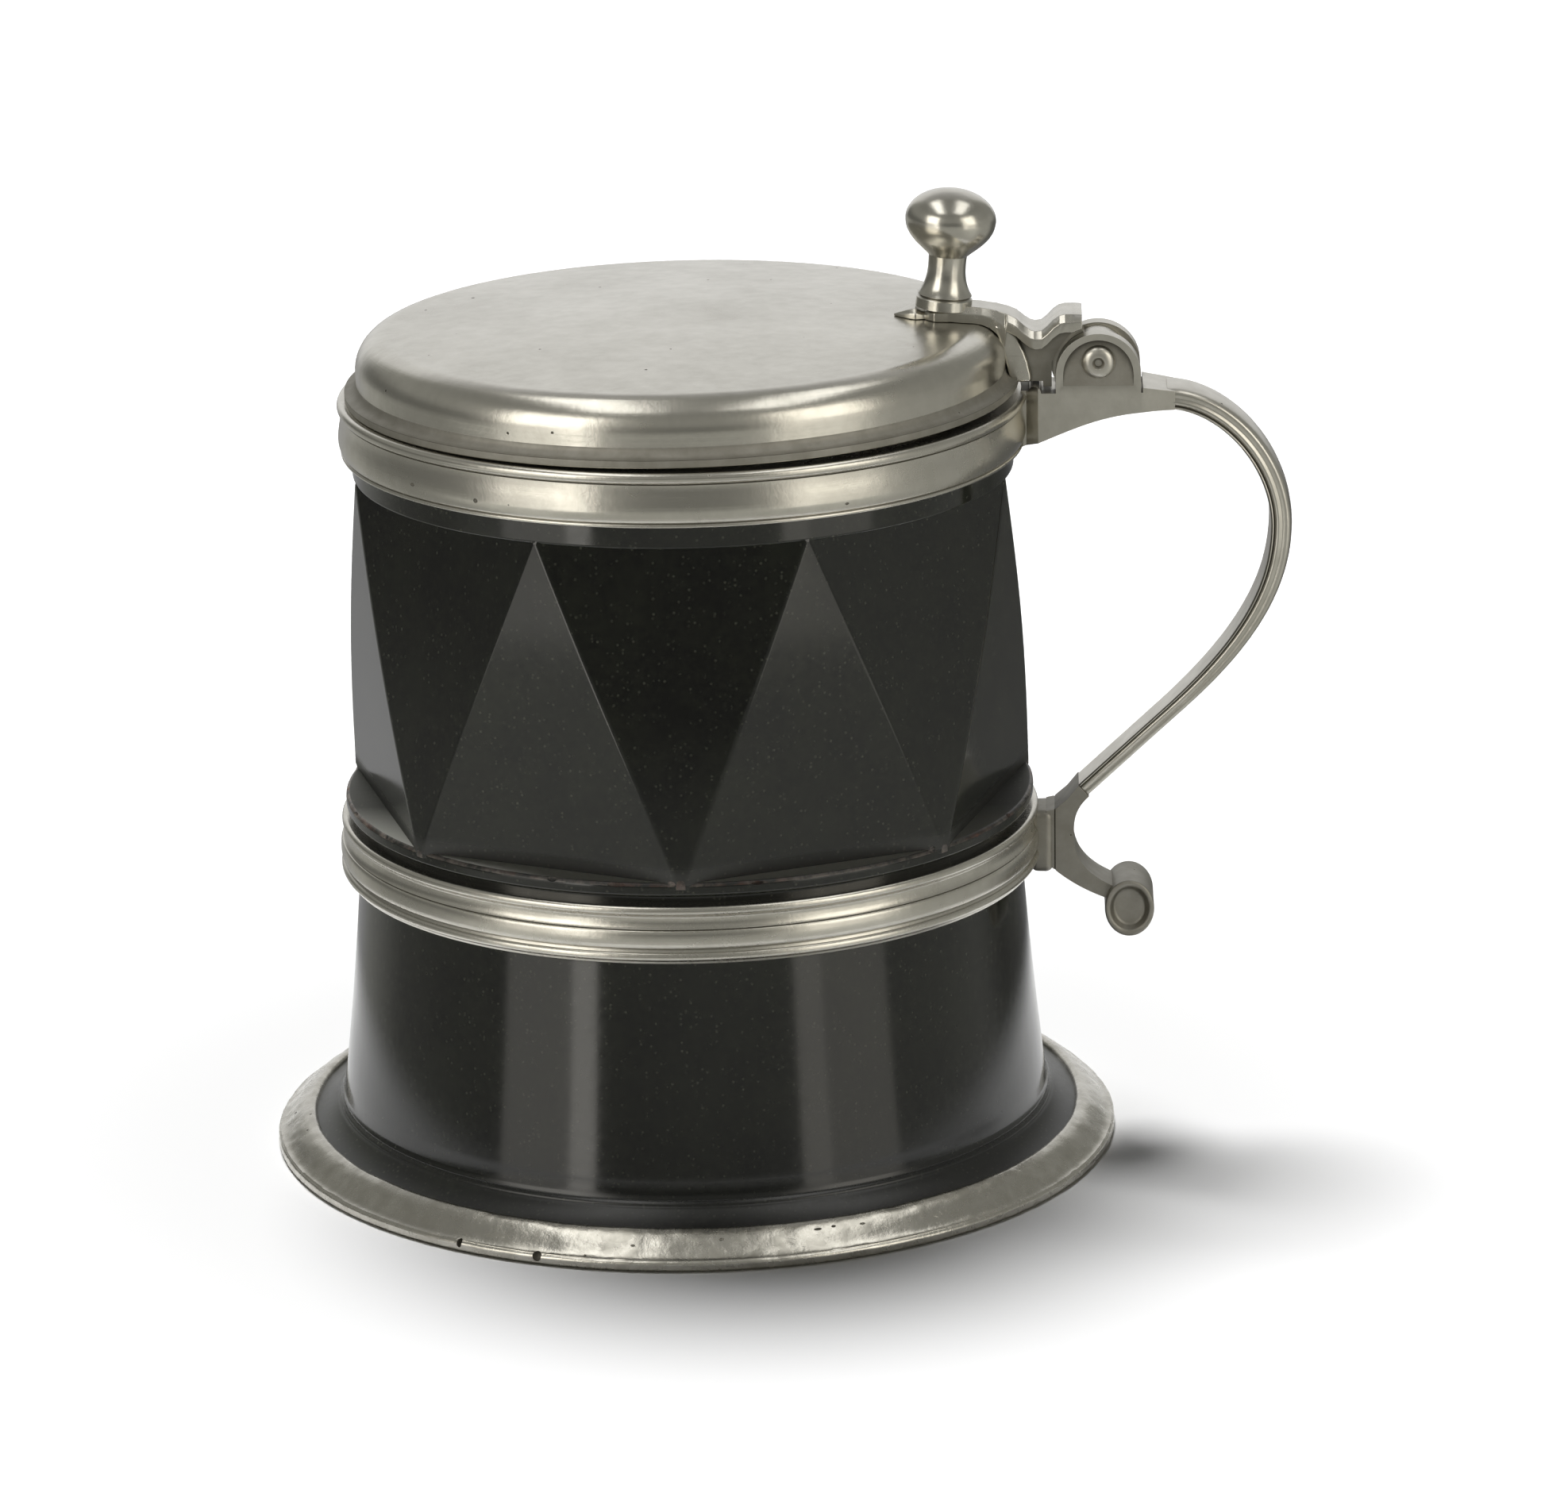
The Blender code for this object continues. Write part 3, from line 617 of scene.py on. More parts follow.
def stone_material(context, name, rough, worn=0.0, ledge=0.0):
    """Serpentine: near-black stone with greenish clouds and light grains, darker polished than worn."""
    colours = context.scene.tankard_stone
    made, tree, shader = new_material(name)
    place = add_node(tree, "TexCoord").outputs["Object"]
    # Clouds about 12 mm wide, with a mottled grain of 1.4 mm inside them
    clouds = add_node(
        tree, "TexNoise", inputs={"Vector": place, "Scale": 1 / 0.012, "Detail": 6.0, "Roughness": 0.66}
    )
    mottle = add_node(
        tree, "TexNoise", inputs={"Vector": place, "Scale": 1 / 0.0014, "Detail": 3.0, "Roughness": 0.6}
    )
    both = add_node(
        tree,
        "Mix",
        {"data_type": "FLOAT"},
        {0: 0.45, 2: clouds.outputs["Fac"], 3: mottle.outputs["Fac"]},
    )
    share = add_node(
        tree, "MapRange", inputs={"Value": both.outputs[0], "From Min": 0.4, "From Max": 0.62}
    )
    colour = add_node(
        tree,
        "Mix",
        {"data_type": "RGBA"},
        {0: share.outputs[0], 6: (*colours.dark, 1), 7: (*colours.cloud, 1)},
    )
    # Light grains up to 0.5 mm in cells of 0.8 mm, few of them bright
    cells = add_node(tree, "TexVoronoi", inputs={"Vector": place, "Scale": 1 / 0.0008})
    chance = add_node(tree, "SeparateXYZ", inputs={0: cells.outputs["Color"]})
    near = add_node(
        tree,
        "MapRange",
        {"interpolation_type": "SMOOTHSTEP"},
        {"Value": cells.outputs["Distance"], "From Min": 0.42, "From Max": 0.15},
    )
    strength = add_node(tree, "Math", {"operation": "POWER"}, {0: chance.outputs[0], 1: 3.5})
    grains = add_node(
        tree, "Math", {"operation": "MULTIPLY"}, {0: near.outputs[0], 1: strength.outputs[0]}
    )
    speckled = add_node(
        tree,
        "Mix",
        {"data_type": "RGBA"},
        {0: grains.outputs[0], 6: colour.outputs[2], 7: (*colours.grain, 1)},
    )
    # Broken stone comes out in patches of 2.5 mm, and is stained over about 9 mm
    stains = add_node(tree, "TexNoise", inputs={"Vector": place, "Scale": 1 / 0.009, "Detail": 3.0})
    stained = add_node(
        tree,
        "MapRange",
        inputs={"Value": stains.outputs["Fac"], "From Min": 0.5, "From Max": 0.6, "To Max": 0.9},
    )
    bare = add_node(
        tree,
        "Mix",
        {"data_type": "RGBA"},
        {0: stained.outputs[0], 6: (*colours.broken, 1), 7: (*colours.stain, 1)},
    )
    patches = add_node(
        tree, "TexNoise", inputs={"Vector": place, "Scale": 1 / 0.0025, "Detail": 4.0, "Roughness": 0.7}
    )
    patchy = add_node(
        tree,
        "MapRange",
        inputs={"Value": patches.outputs["Fac"], "From Min": 0.4, "From Max": 0.6, "To Max": worn},
    )
    scuffed = add_node(
        tree,
        "Mix",
        {"data_type": "RGBA"},
        {0: patchy.outputs[0], 6: speckled.outputs[2], 7: bare.outputs[2]},
    )
    # Dust lies on what faces up at the ledge's height. Most of it is laid in front, where its pale colour
    # is painted light on the shelf that the key lamp leaves in shade.
    parts = add_node(tree, "SeparateXYZ", inputs={0: place}).outputs
    height = parts[2]
    settled = add_node(
        tree,
        "MapRange",
        {"interpolation_type": "SMOOTHSTEP"},
        {"Value": height, "From Min": ledge + 0.0034, "From Max": ledge + 0.0004, "To Max": 0.9},
    )
    over = add_node(
        tree, "MapRange", inputs={"Value": height, "From Min": ledge - 0.0004, "From Max": ledge - 0.0001}
    )
    dusty = add_node(tree, "Math", {"operation": "MULTIPLY"}, {0: settled.outputs[0], 1: over.outputs[0]})
    # Painted light: the front of the ledge, shaded from the key lamp, gets the most of the pale colour
    front = add_node(
        tree, "MapRange", inputs={"Value": parts[1], "From Min": -0.015, "From Max": -0.045, "To Min": 0.06}
    )
    facing = add_node(tree, "SeparateXYZ", inputs={0: add_node(tree, "NewGeometry").outputs["Normal"]})
    lying = add_node(
        tree,
        "MapRange",
        inputs={
            "Value": facing.outputs[2],
            "From Min": 0.3,
            "From Max": 0.9,
            "To Min": 0.03,
            "To Max": front.outputs[0],
        },
    )
    dust_and_light_share = add_node(tree, "Math", {"operation": "MULTIPLY"}, {0: dusty.outputs[0], 1: lying.outputs[0]})
    dusted_and_lit = add_node(
        tree,
        "Mix",
        {"data_type": "RGBA"},
        {0: dust_and_light_share.outputs[0], 6: scuffed.outputs[2], 7: (*colours.pale_dust_and_light, 1)},
    )
    tree.links.new(dusted_and_lit.outputs[2], shader.inputs["Base Color"])
    # Below about 8 mm, down by the foot ring, nobody polishes the stone
    unpolished = add_node(
        tree,
        "MapRange",
        inputs={
            "Value": height,
            "From Min": 0.0095,
            "From Max": 0.007,
            "To Min": rough,
            "To Max": rough + 0.22,
        },
    )
    matt = add_node(
        tree,
        "Math",
        {"operation": "MULTIPLY_ADD"},
        {0: mottle.outputs["Fac"], 1: 0.1, 2: unpolished.outputs[0]},
    )
    matt = add_node(
        tree, "Math", {"operation": "MULTIPLY_ADD"}, {0: dusty.outputs[0], 1: 0.5, 2: matt.outputs[0]}
    )
    veiled = add_node(tree, "MapRange", inputs={"Value": dust_and_light_share.outputs[0], "To Min": 0.5, "To Max": 0.08})
    tree.links.new(veiled.outputs[0], shader.inputs["Specular IOR Level"])
    tree.links.new(matt.outputs[0], shader.inputs["Roughness"])
    shader.inputs["IOR"].default_value = 1.54
    relief = add_node(
        tree,
        "Bump",
        inputs={"Height": mottle.outputs["Fac"], "Strength": 0.04 + 0.5 * worn, "Distance": 0.00008},
    )
    tree.links.new(relief.outputs[0], shader.inputs["Normal"])
    return made


class TANKARD_OT_stone(bpy.types.Operator):
    """Turns the stone vessel, grinds its facets and chips the edge of its ledge"""

    bl_idname = "tankard.stone"
    bl_label = "Stone vessel"

    def execute(self, context):
        size = context.scene.tankard_stone
        base = node_box("stone_body")[1]
        band_low = node_box("middle_band")[0]
        foot = node_box("foot_ring")[1]
        floor = 10.0
        collar, collar_foot = 53.6, 113.4
        ledge, ledge_top, ledge_foot = 56.5, 60.1, 57.75
        seat, drum, drum_foot = 54.6, 58.4, 9.0
        core = BORE + 2.1
        lines, line_width = (10.1, 9.3, 7.9, 7.2), 0.16
        polished = stone_material(context, "polished_serpentine", 0.07, ledge=ledge_top * MM)
        worn = stone_material(context, "worn_serpentine", 0.35, 0.6)
        broken = stone_material(context, "broken_serpentine", 0.6, 0.95)
        drum_line = swept((seat, band_low.z - 0.3), (drum, drum_foot), ((0.25, 0.33), (0.55, 0.67)), 40)
        flare = swept((drum, drum_foot), (base.x, foot.z), ((0.06, 0.40), (0.55, 0.80)), 48)
        lower = []
        for r, z in [*drum_line, *flare[1:]]:
            cut = sum(exp(-(((z - line) / line_width) ** 2)) for line in lines)
            lower.append((r - size.line_depth / MM * cut, z))
        upper = rounded([(0, base.z), (collar, base.z), (collar, collar_foot), (core, collar_foot)], 0.5)
        ledge_line = [(core, ledge_top), (ledge, ledge_top), (ledge, ledge_foot), (seat, ledge_foot)]
        ledge_line = rounded(ledge_line, 0.75, 6)
        profile = [*upper, *ledge_line, *lower, (base.x, 0), (0, 0)]
        vessel = turned("stone_vessel", profile)
        vessel.data.materials.append(polished)

        # The facets were ground by hand, so that their points stand unevenly round the axis, in degrees
        tops = (-166.7, -112.9, -66.3, -13.2, 38.4, 90.0, 141.6)
        feet = (-136.8, -88.8, -41.7, 11.3, 64.3, 117.2, 170.2)
        facets = begin("ground_facets")
        corners = []
        # The points run on a little behind the collar and into the ledge
        for turns, out, z in ((tops, 53.8, collar_foot + 0.7), (feet, 57.0, ledge_top - 1.4)):
            corners += [on_ring(out, turn, z) for turn in turns]
        draw(corners)
        bpy.ops.mesh.select_all(action="SELECT")
        bpy.ops.mesh.convex_hull(join_triangles=False)
        bpy.ops.mesh.select_all(action="DESELECT")
        bpy.ops.object.mode_set(mode="OBJECT")
        low = ledge_top * MM
        points = facets.data.vertices
        for edge in facets.data.edges:
            a, b = (points[i].co.z < low for i in edge.vertices)
            edge.select = a != b
        bpy.ops.object.mode_set(mode="EDIT")
        bpy.ops.mesh.select_mode(type="EDGE")
        bpy.ops.mesh.bevel(offset=size.facet_wear, segments=3, affect="EDGES")
        bpy.ops.mesh.select_mode(type="VERT")
        # Up and down they swell a little, as on a barrel
        swell, rows = 0.8, 12
        for row in range(1, rows):
            at = (ledge_top + (collar_foot - ledge_top) * row / rows) * MM
            bpy.ops.mesh.select_all(action="SELECT")
            bpy.ops.mesh.bisect(plane_co=(0, 0, at), plane_no=(0, 0, 1))
        close_up()
        for point in facets.data.vertices:
            share = (point.co.z / MM - ledge_top) / (collar_foot - ledge_top)
            point.co.xy *= 1 + swell / ledge * sin(pi * min(max(share, 0), 1))
        facets.data.materials.append(polished)
        # The turned blank that they were ground from ends them at the ledge and under the collar
        bulge, blank_rows = 1.7, 16
        cone = [(0, ledge_top - 1)]
        for i in range(blank_rows + 1):
            share = i / blank_rows
            out = ledge + 0.2 + (collar - ledge) * share + bulge * sin(pi * share)
            cone.append((out, ledge_top - 1 + (collar_foot + 2 - ledge_top) * share))
        cone.append((0, collar_foot + 1))
        blank = turned("turned_blank", cone)
        blank.data.materials.append(polished)
        combine(facets, blank, "INTERSECT")
        combine(vessel, facets, "UNION")
        hollow = rounded([(0, floor), (BORE, floor), (BORE, 2 * base.z), (0, 2 * base.z)], 3.0, 8)
        hollow = turned("bore", hollow)
        hollow.data.materials.append(polished)
        combine(vessel, hollow, "DIFFERENCE")

        # The edge of the ledge is worn
        vessel.data.materials.append(worn)
        slot = len(vessel.data.materials) - 1
        for face in vessel.data.polygons:
            z, out = face.center.z / MM, face.center.xy.length / MM
            if ledge_top - 0.6 < z < ledge_top - 0.05 and out > ledge - 1:
                face.material_index = slot
        draws = random.Random(11)
        spots = []
        for i in range(size.chips):
            # Chips lie closest together on the front left, and none overlaps the next
            share = (i + draws.uniform(-0.2, 0.2)) / size.chips
            turn = 2 * pi * share + 0.45 * sin(2 * pi * share + 0.35) - radians(20)
            wide = draws.uniform(0.6, 1.7)
            out = ledge + draws.uniform(0.0, 0.3)
            up = ledge_top + draws.uniform(-0.45, 0.3)
            spots.append(
                (
                    (out * cos(turn), out * sin(turn), up),
                    (draws.uniform(0.35, 0.85), wide, draws.uniform(0.3, 0.65)),
                )
            )
        carve(vessel, spots, broken, 3)
        shade(vessel, 25)
        hand_over(vessel, "tankard", "serpentine", polished, "stone_body")
        return {"FINISHED"}


class TANKARD_OT_rings(bpy.types.Operator):
    """Turns the foot ring, the middle band and the rim band"""

    bl_idname = "tankard.rings"
    bl_label = "Pewter rings"

    def execute(self, context):
        pewter = pewter_material(context, "turned_pewter", 0.25, turning=0.3, mottle=0.1, pits=0.18)
        worn = pewter_material(
            context, "pitted_pewter", 0.22, mottle=0.8, pits=0.62, grime_and_shade=0.9, tarnished=0.16
        )
        # Tarnished pewter for the nicks and pits; on the hinge and the lid's web it also stands for painted
        # shade
        tarnished = pewter_material(
            context, "tarnished_and_shaded_pewter", 0.45, mottle=0.6, pits=0.4, grime_and_shade=1.0, tarnished=0.5
        )
        high = node_box("foot_ring")[1]
        stone = node_box("stone_body")[1].x + 0.04
        lip = (high.x - 0.45, 1.95)
        roll = arc((stone - 0.2, high.z + 0.15), 0.95, 165, 62, 10)
        foot = turned(
            "foot_ring_pewter",
            [
                (stone, 0),
                (stone, high.z - 0.2),
                (stone - 1.4, high.z + 0.3),
                *roll,
                *swept(roll[-1], lip, ((0.45, 0.22), (0.72, 0.9)), 22)[1:],
                *arc((high.x - 0.62, 1.25), 0.62, 70, 0, 6),
                (high.x, 0.55),
                (high.x - 0.5, 0),
                (stone, 0),
            ],
            2 * TURN_STEPS,
        )
        for depth, spacing in ((0.3, 7.0), (0.1, 1.6)):
            hammer(foot, depth, spacing, above=0.9)
        nicks = (
            (-120.2, 69.5, 1.6, (0.9, 0.5, 0.8)),
            (-108.7, 69.4, 1.5, (0.9, 0.8, 0.9)),
            (-84.0, 66.3, 4.3, (0.3, 0.5, 0.2)),
            (-70.5, 66.0, 4.5, (0.3, 0.7, 0.2)),
            (-68.2, 65.9, 4.6, (0.3, 0.4, 0.2)),
            (-64.0, 66.2, 4.4, (0.25, 0.5, 0.2)),
            (-96.0, 67.2, 3.6, (0.25, 0.4, 0.2)),
            (40.0, 69.5, 1.3, (0.8, 0.6, 0.8)),
            (115.0, 67.2, 3.1, (0.6, 0.9, 0.5)),
            (171.0, 69.5, 1.3, (0.8, 0.7, 0.9)),
        )
        carve(foot, [(on_ring(out, turn, z), size) for turn, out, z, size in nicks], tarnished, 5)
        shade(foot, 50)
        hand_over(foot, "tankard", "worn_pewter", worn, "foot_ring")

        low, high = node_box("middle_band")
        inner, outer = high.x - 3.1, high.x
        top = high.z + 0.9
        bead, foot_bead = 0.8, 0.82
        line = 0.17  # depth of the lines between the mouldings
        belly_out, belly_up, belly_at, belly_rows = 0.42, 1.5, 51.0, 16
        flank = outer - belly_out
        cove = swept((outer - 0.85, top - 1.75), (flank, 52.7), ((-0.35, 0.4), (0.2, 0.8)), 12)
        belly = []
        for i in range(belly_rows + 1):
            a = pi * i / belly_rows
            belly.append((flank + belly_out * sin(a), belly_at + belly_up * cos(a)))
        band = turned(
            "middle_band_pewter",
            [
                (inner, top),
                *arc((outer - 1.1, top - bead), bead, 90, -55, 12),
                *cove,
                (flank - line, 52.6),
                *belly,
                (flank - line - 0.1, 49.3),
                *arc((outer - 0.85, low.z + 1.15), foot_bead, 65, -70, 14),
                (outer - 0.75, low.z),
                (inner, low.z),
                (inner, top),
            ],
        )
        nicks = ((-71.2, 54.4, (0.8, 0.28, 0.9)), (30.0, 51.2, (0.4, 0.5, 0.4)))
        carve(band, [(on_ring(outer, turn, z), size) for turn, z, size in nicks], tarnished, 7)
        shade(band)
        hand_over(band, "tankard", "pewter", pewter, "middle_band")

        low, high = node_box("rim_band")
        inner, outer = high.x - 2.3, high.x
        bead, foot_bead, lip = 0.9, 0.34, 1.5
        waist = (outer - 0.62, high.z - 1.95)
        belly = (outer - 0.05, low.z + 2.6)
        hem = (outer - 0.55, low.z + 0.85)
        rim = turned(
            "rim_band_pewter",
            [
                (BORE, high.z),
                *arc((outer - bead, high.z - bead), bead, 90, -62, 16),
                (waist[0] - line, waist[1] + 0.12),
                *swept(waist, belly, ((0, 0.30), (0.9, 0.62)), 20),
                *swept(belly, hem, ((0, 0.5), (0.7, 0.9)), 8)[1:],
                (hem[0] - line, low.z + 0.72),
                *arc((outer - 0.78, low.z + 0.36), foot_bead, 60, -90, 8),
                (inner, low.z + 0.02),
                (inner, high.z - lip),
                (BORE, high.z - lip),
                (BORE, high.z),
            ],
        )
        pits = (
            (-136.8, 120.2, (0.35, 0.5, 0.3)),
            (-122.6, 119.8, (0.35, 0.45, 0.4)),
            (-98.0, 122.6, (0.3, 0.35, 0.25)),
            (-60.0, 119.2, (0.3, 0.4, 0.25)),
            (62.0, 120.5, (0.35, 0.5, 0.3)),
            (150.0, 119.7, (0.35, 0.5, 0.3)),
        )
        carve(rim, [(on_ring(outer, turn, z), size) for turn, z, size in pits], tarnished, 9)
        shade(rim)
        hand_over(rim, "tankard", "pewter", pewter, "rim_band")
        return {"FINISHED"}


class TANKARD_OT_lid(bpy.types.Operator):
    """Turns the lid, hollow underneath"""

    bl_idname = "tankard.lid"
    bl_label = "Lid"

    def execute(self, context):
        pewter = pewter_material(context, "lid_pewter", 0.24, turning=0.3, mottle=0.1, pits=0.3, grime_and_shade=0.9)
        low, high = node_box("lid_cover")
        flange, side, wall = high.x, high.x - LID_SETBACK, 2.0
        flat = side - LID_SHOULDER
        side_top = low.z + LID_FLANGE + LID_COVE + LID_SIDE
        flat_top = side_top + LID_SHOULDER
        rise, rows, cove_rows, edge = high.z - flat_top, 24, 10, 0.3
        crown = [(flat * i / rows, flat_top + rise * (1 - (i / rows) ** 2)) for i in range(rows)]
        cove = []
        for i in range(cove_rows + 1):
            a = pi / 2 * i / cove_rows
            cove.append((flange - LID_SETBACK * cos(a), side_top - LID_SIDE - LID_COVE * sin(a)))
        flange_top = low.z + LID_FLANGE
        rim = [(flange - edge, flange_top), (flange, flange_top), (flange, low.z), (flange - 3, low.z)]
        cover = turned(
            "lid_cover_pewter",
            [
                *crown,
                *arc((flat, side_top), LID_SHOULDER, 90, 0, rows),
                *cove,
                *rounded(rim, edge),
                (side - wall, low.z),
                *arc((flat, side_top), LID_SHOULDER - wall, 0, 90, 12),
                *[(r, z - wall) for r, z in reversed(crown)],
            ],
        )
        # The cove and the flange take the darker, duller tarnished pewter
        cover.data.materials.append(pewter)
        cover.data.materials.append(bpy.data.materials["tarnished_and_shaded_pewter"])
        for face in cover.data.polygons:
            z, out = face.center.z / MM, face.center.xy.length / MM
            if z < side_top - LID_SIDE + 0.1 and out > side - 0.2 and face.normal.z > -0.5:
                face.material_index = 1
        shade(cover)
        reshape(bpy.ops.transform.rotate, value=LID_TILT, orient_axis="Y", center_override=LID_REST * MM)
        hand_over(cover, "lid", "pewter", pewter, "lid_cover")
        return {"FINISHED"}


class TANKARD_OT_lid_strap(bpy.types.Operator):
    """Shapes the strap on the lid, from its leaf over the shoulder to the heel and the hinge's knuckle"""

    bl_idname = "tankard.lid_strap"
    bl_label = "Lid strap and thumbpiece"

    def execute(self, context):
        pewter = pewter_material(context, "cast_pewter", 0.27, mottle=0.3, pits=0.2, grime_and_shade=0.8)
        low, high = node_box("lid_cover")
        side = high.x - LID_SETBACK
        flat = side - LID_SHOULDER
        side_top = low.z + LID_FLANGE + LID_COVE + LID_SIDE
        flat_top = side_top + LID_SHOULDER
        rise = high.z - flat_top
        web, lug_end = low.z + LID_FLANGE, 58.4
        hug, clear = 6.25, 7.45  # from the pin to the web and to the heel

        def under(x):
            """The lid's surface under the strap, and the web's underside behind the lid."""
            lifted = (x - LID_REST.x) * tan(LID_TILT)
            if x <= flat:
                return flat_top + rise * (1 - (x / flat) ** 2) + lifted
            if x <= side:
                return side_top + sqrt(max(LID_SHOULDER**2 - (x - flat) ** 2, 0)) + lifted
            if x <= lug_end:
                return max(web, side_top + lifted - 3 * (x - side))
            if x <= PIN.x - clear:
                return web - 0.9
            # Behind the lid the web follows the cheeks' arch, and the heel keeps clear as the lid opens
            off = (x - PIN.x) ** 2
            return PIN.z + max(sqrt(max(hug**2 - off, 0)), sqrt(clear**2 - off) - 2)

        # The strap's upper edge seen from the side: its leaf over the lid, then its heights
        top, valley, heel = 140.0, 136.1, 138.9
        leaf = (
            (34.5, 0.35), (35.6, 0.9), (36.9, 1.45), (38.0, 1.75), (38.9, 1.35), (39.5, 1.2), (40.2, 1.7),
        )
        tops = [
            *[(x, under(x) + over) for x, over in leaf],
            (41.0, top - 0.1), (43.0, top), (46.0, top - 0.05), (48.5, 139.75), (51.0, 139.3),
            (52.8, 138.75), (54.2, 138.1), (55.4, 137.05), (56.4, valley + 0.25), (57.2, valley),
            (58.2, valley + 0.15), (59.1, valley + 0.85), (60.1, 138.0), (61.1, heel - 0.2), (62.0, heel),
            (63.1, heel), (64.7, heel - 0.1),
        ]
        # Its half width seen from above
        plan = (
            (34.5, 0.35), (35.6, 1.5), (36.9, 2.5), (38.0, 2.95), (38.9, 2.5), (39.5, 2.3), (40.2, 3.1),
            (41.0, 3.9), (41.8, 4.1), (42.7, 3.7), (43.6, 3.45), (44.5, 3.8), (47.0, 3.6), (50.0, 3.75),
            (53.0, 4.5), (56.6, 5.6), (58.6, 5.7), (70.0, 5.7),
        )

        def between(table, x):
            for (x0, v0), (x1, v1) in zip(table, table[1:]):
                if x <= x1:
                    return v0 + (v1 - v0) * (x - x0) / (x1 - x0)
            return table[-1][1]

        ahead = (
            43.6, 47.6, 48.8, 50, 51.8, 52.3, 52.6, 53.0, 53.6, 54.8, 56.9, lug_end, lug_end + 0.05, 59.6,
        )
        behind = [PIN.x - clear + step for step in (-0.04, 0.02, 0.1, 0.3, 0.6, 1.0, 1.5, 2.1, 2.8)]
        places = sorted({round(x, 3) for x in (*dict(tops), *ahead, *behind)})
        plate_thick, gap = 2.7, 0.04
        stations = []
        for x in places:
            low_here, high_here = under(x) + gap, between(tops, x)
            if x > side:
                low_here = max(low_here, high_here - plate_thick)
            stations.append((x, between(plan, x), low_here, high_here))
        strap = drawn_out("lid_strap_pewter", stations)
        soften(strap, 0.35, 35, 3)

        # A saddle on the lid's side and a narrower web carry the plate, and a neck carries the knuckle
        half_saddle, half_web, half_neck, half_knuckle = 4.2, 3.4, 2.35, 2.4
        saddle = [
            (50.6, 137.2), (52.6, 136.9), (54.3, 135.2), (55.4, 132.8), (56.0, 131.1), (56.5, 129.0),
            (56.6, web), (53.2, web), (52.4, 131.0),
        ]
        saddle = plate("saddle", saddle, -half_saddle, 2 * half_saddle)
        soften(saddle, 0.5, 35, 3)
        combine(strap, saddle, "UNION")
        reach = [x for x in places if 53.0 < x < 63.5]
        web_line = [(x, under(x) + gap) for x in reach]
        web_line += [(x, between(tops, x) - 1.2) for x in reversed(reach)]
        web_plate = plate("web", web_line, -half_web, 2 * half_web)
        strap.data.materials.append(pewter)
        # The web takes the darker tarnished pewter, as painted shade where the strap's plate overhangs it
        web_plate.data.materials.append(bpy.data.materials["tarnished_and_shaded_pewter"])
        combine(strap, web_plate, "UNION")
        pin_at = (PIN.x, PIN.z)
        neck = [*arc(pin_at, 7.7, 118, 214, 22), pin_at]
        neck = plate("knuckle_neck", neck, -half_neck, 2 * half_neck)
        out = 4.5
        knuckle = [(0, -half_knuckle), (out, -half_knuckle), (out, half_knuckle), (0, half_knuckle)]
        knuckle = turned("knuckle", rounded(knuckle, 0.3), SMALL_STEPS, PIN)
        combine(neck, knuckle, "UNION")
        combine(strap, neck, "UNION")
        drill(strap)
        shade(strap, 35)
        hand_over(strap, "lid", "pewter", pewter, "lid_strap")

        polished = pewter_material(context, "polished_pewter", 0.21, mottle=0.1, pits=0.15, grime_and_shade=0.8)
        half, reach, middle, rows = 4.95, 7.3, 12.2, 24
        ball = []
        for i in range(rows + 1):
            a = pi / 2 * i / rows
            ball.append((reach * sin(a), middle + half * cos(a)))
        throat, throat_at = 3.1, 6.3
        under_ball = [(reach, middle - 2.9), (throat + 1.5, throat_at + 1.5), (throat, throat_at)]
        stem = swept((throat, throat_at), (4.2, 0.2), ((-0.15, 0.35), (-0.1, 0.7)), 20)
        foot_lines = [(4.4, -0.1), (4.1, -0.35), (4.5, -0.7), (4.6, -2.2), (0, -2.2)]
        thumb = turned(
            "thumbpiece_pewter",
            [*ball, *bezier(ball[-1], *under_ball, 16)[1:], *stem[1:], *foot_lines],
            SMALL_STEPS,
        )
        lean, foot = radians(-5), Vector((42.7, 0, 141.6))
        reshape(bpy.ops.transform.rotate, value=lean, orient_axis="Y", center_override=(0, 0, 0))
        reshape(bpy.ops.transform.translate, value=foot * MM)
        shade(thumb, 40)
        hand_over(thumb, "lid", "pewter", polished, "thumbpiece")
        return {"FINISHED"}


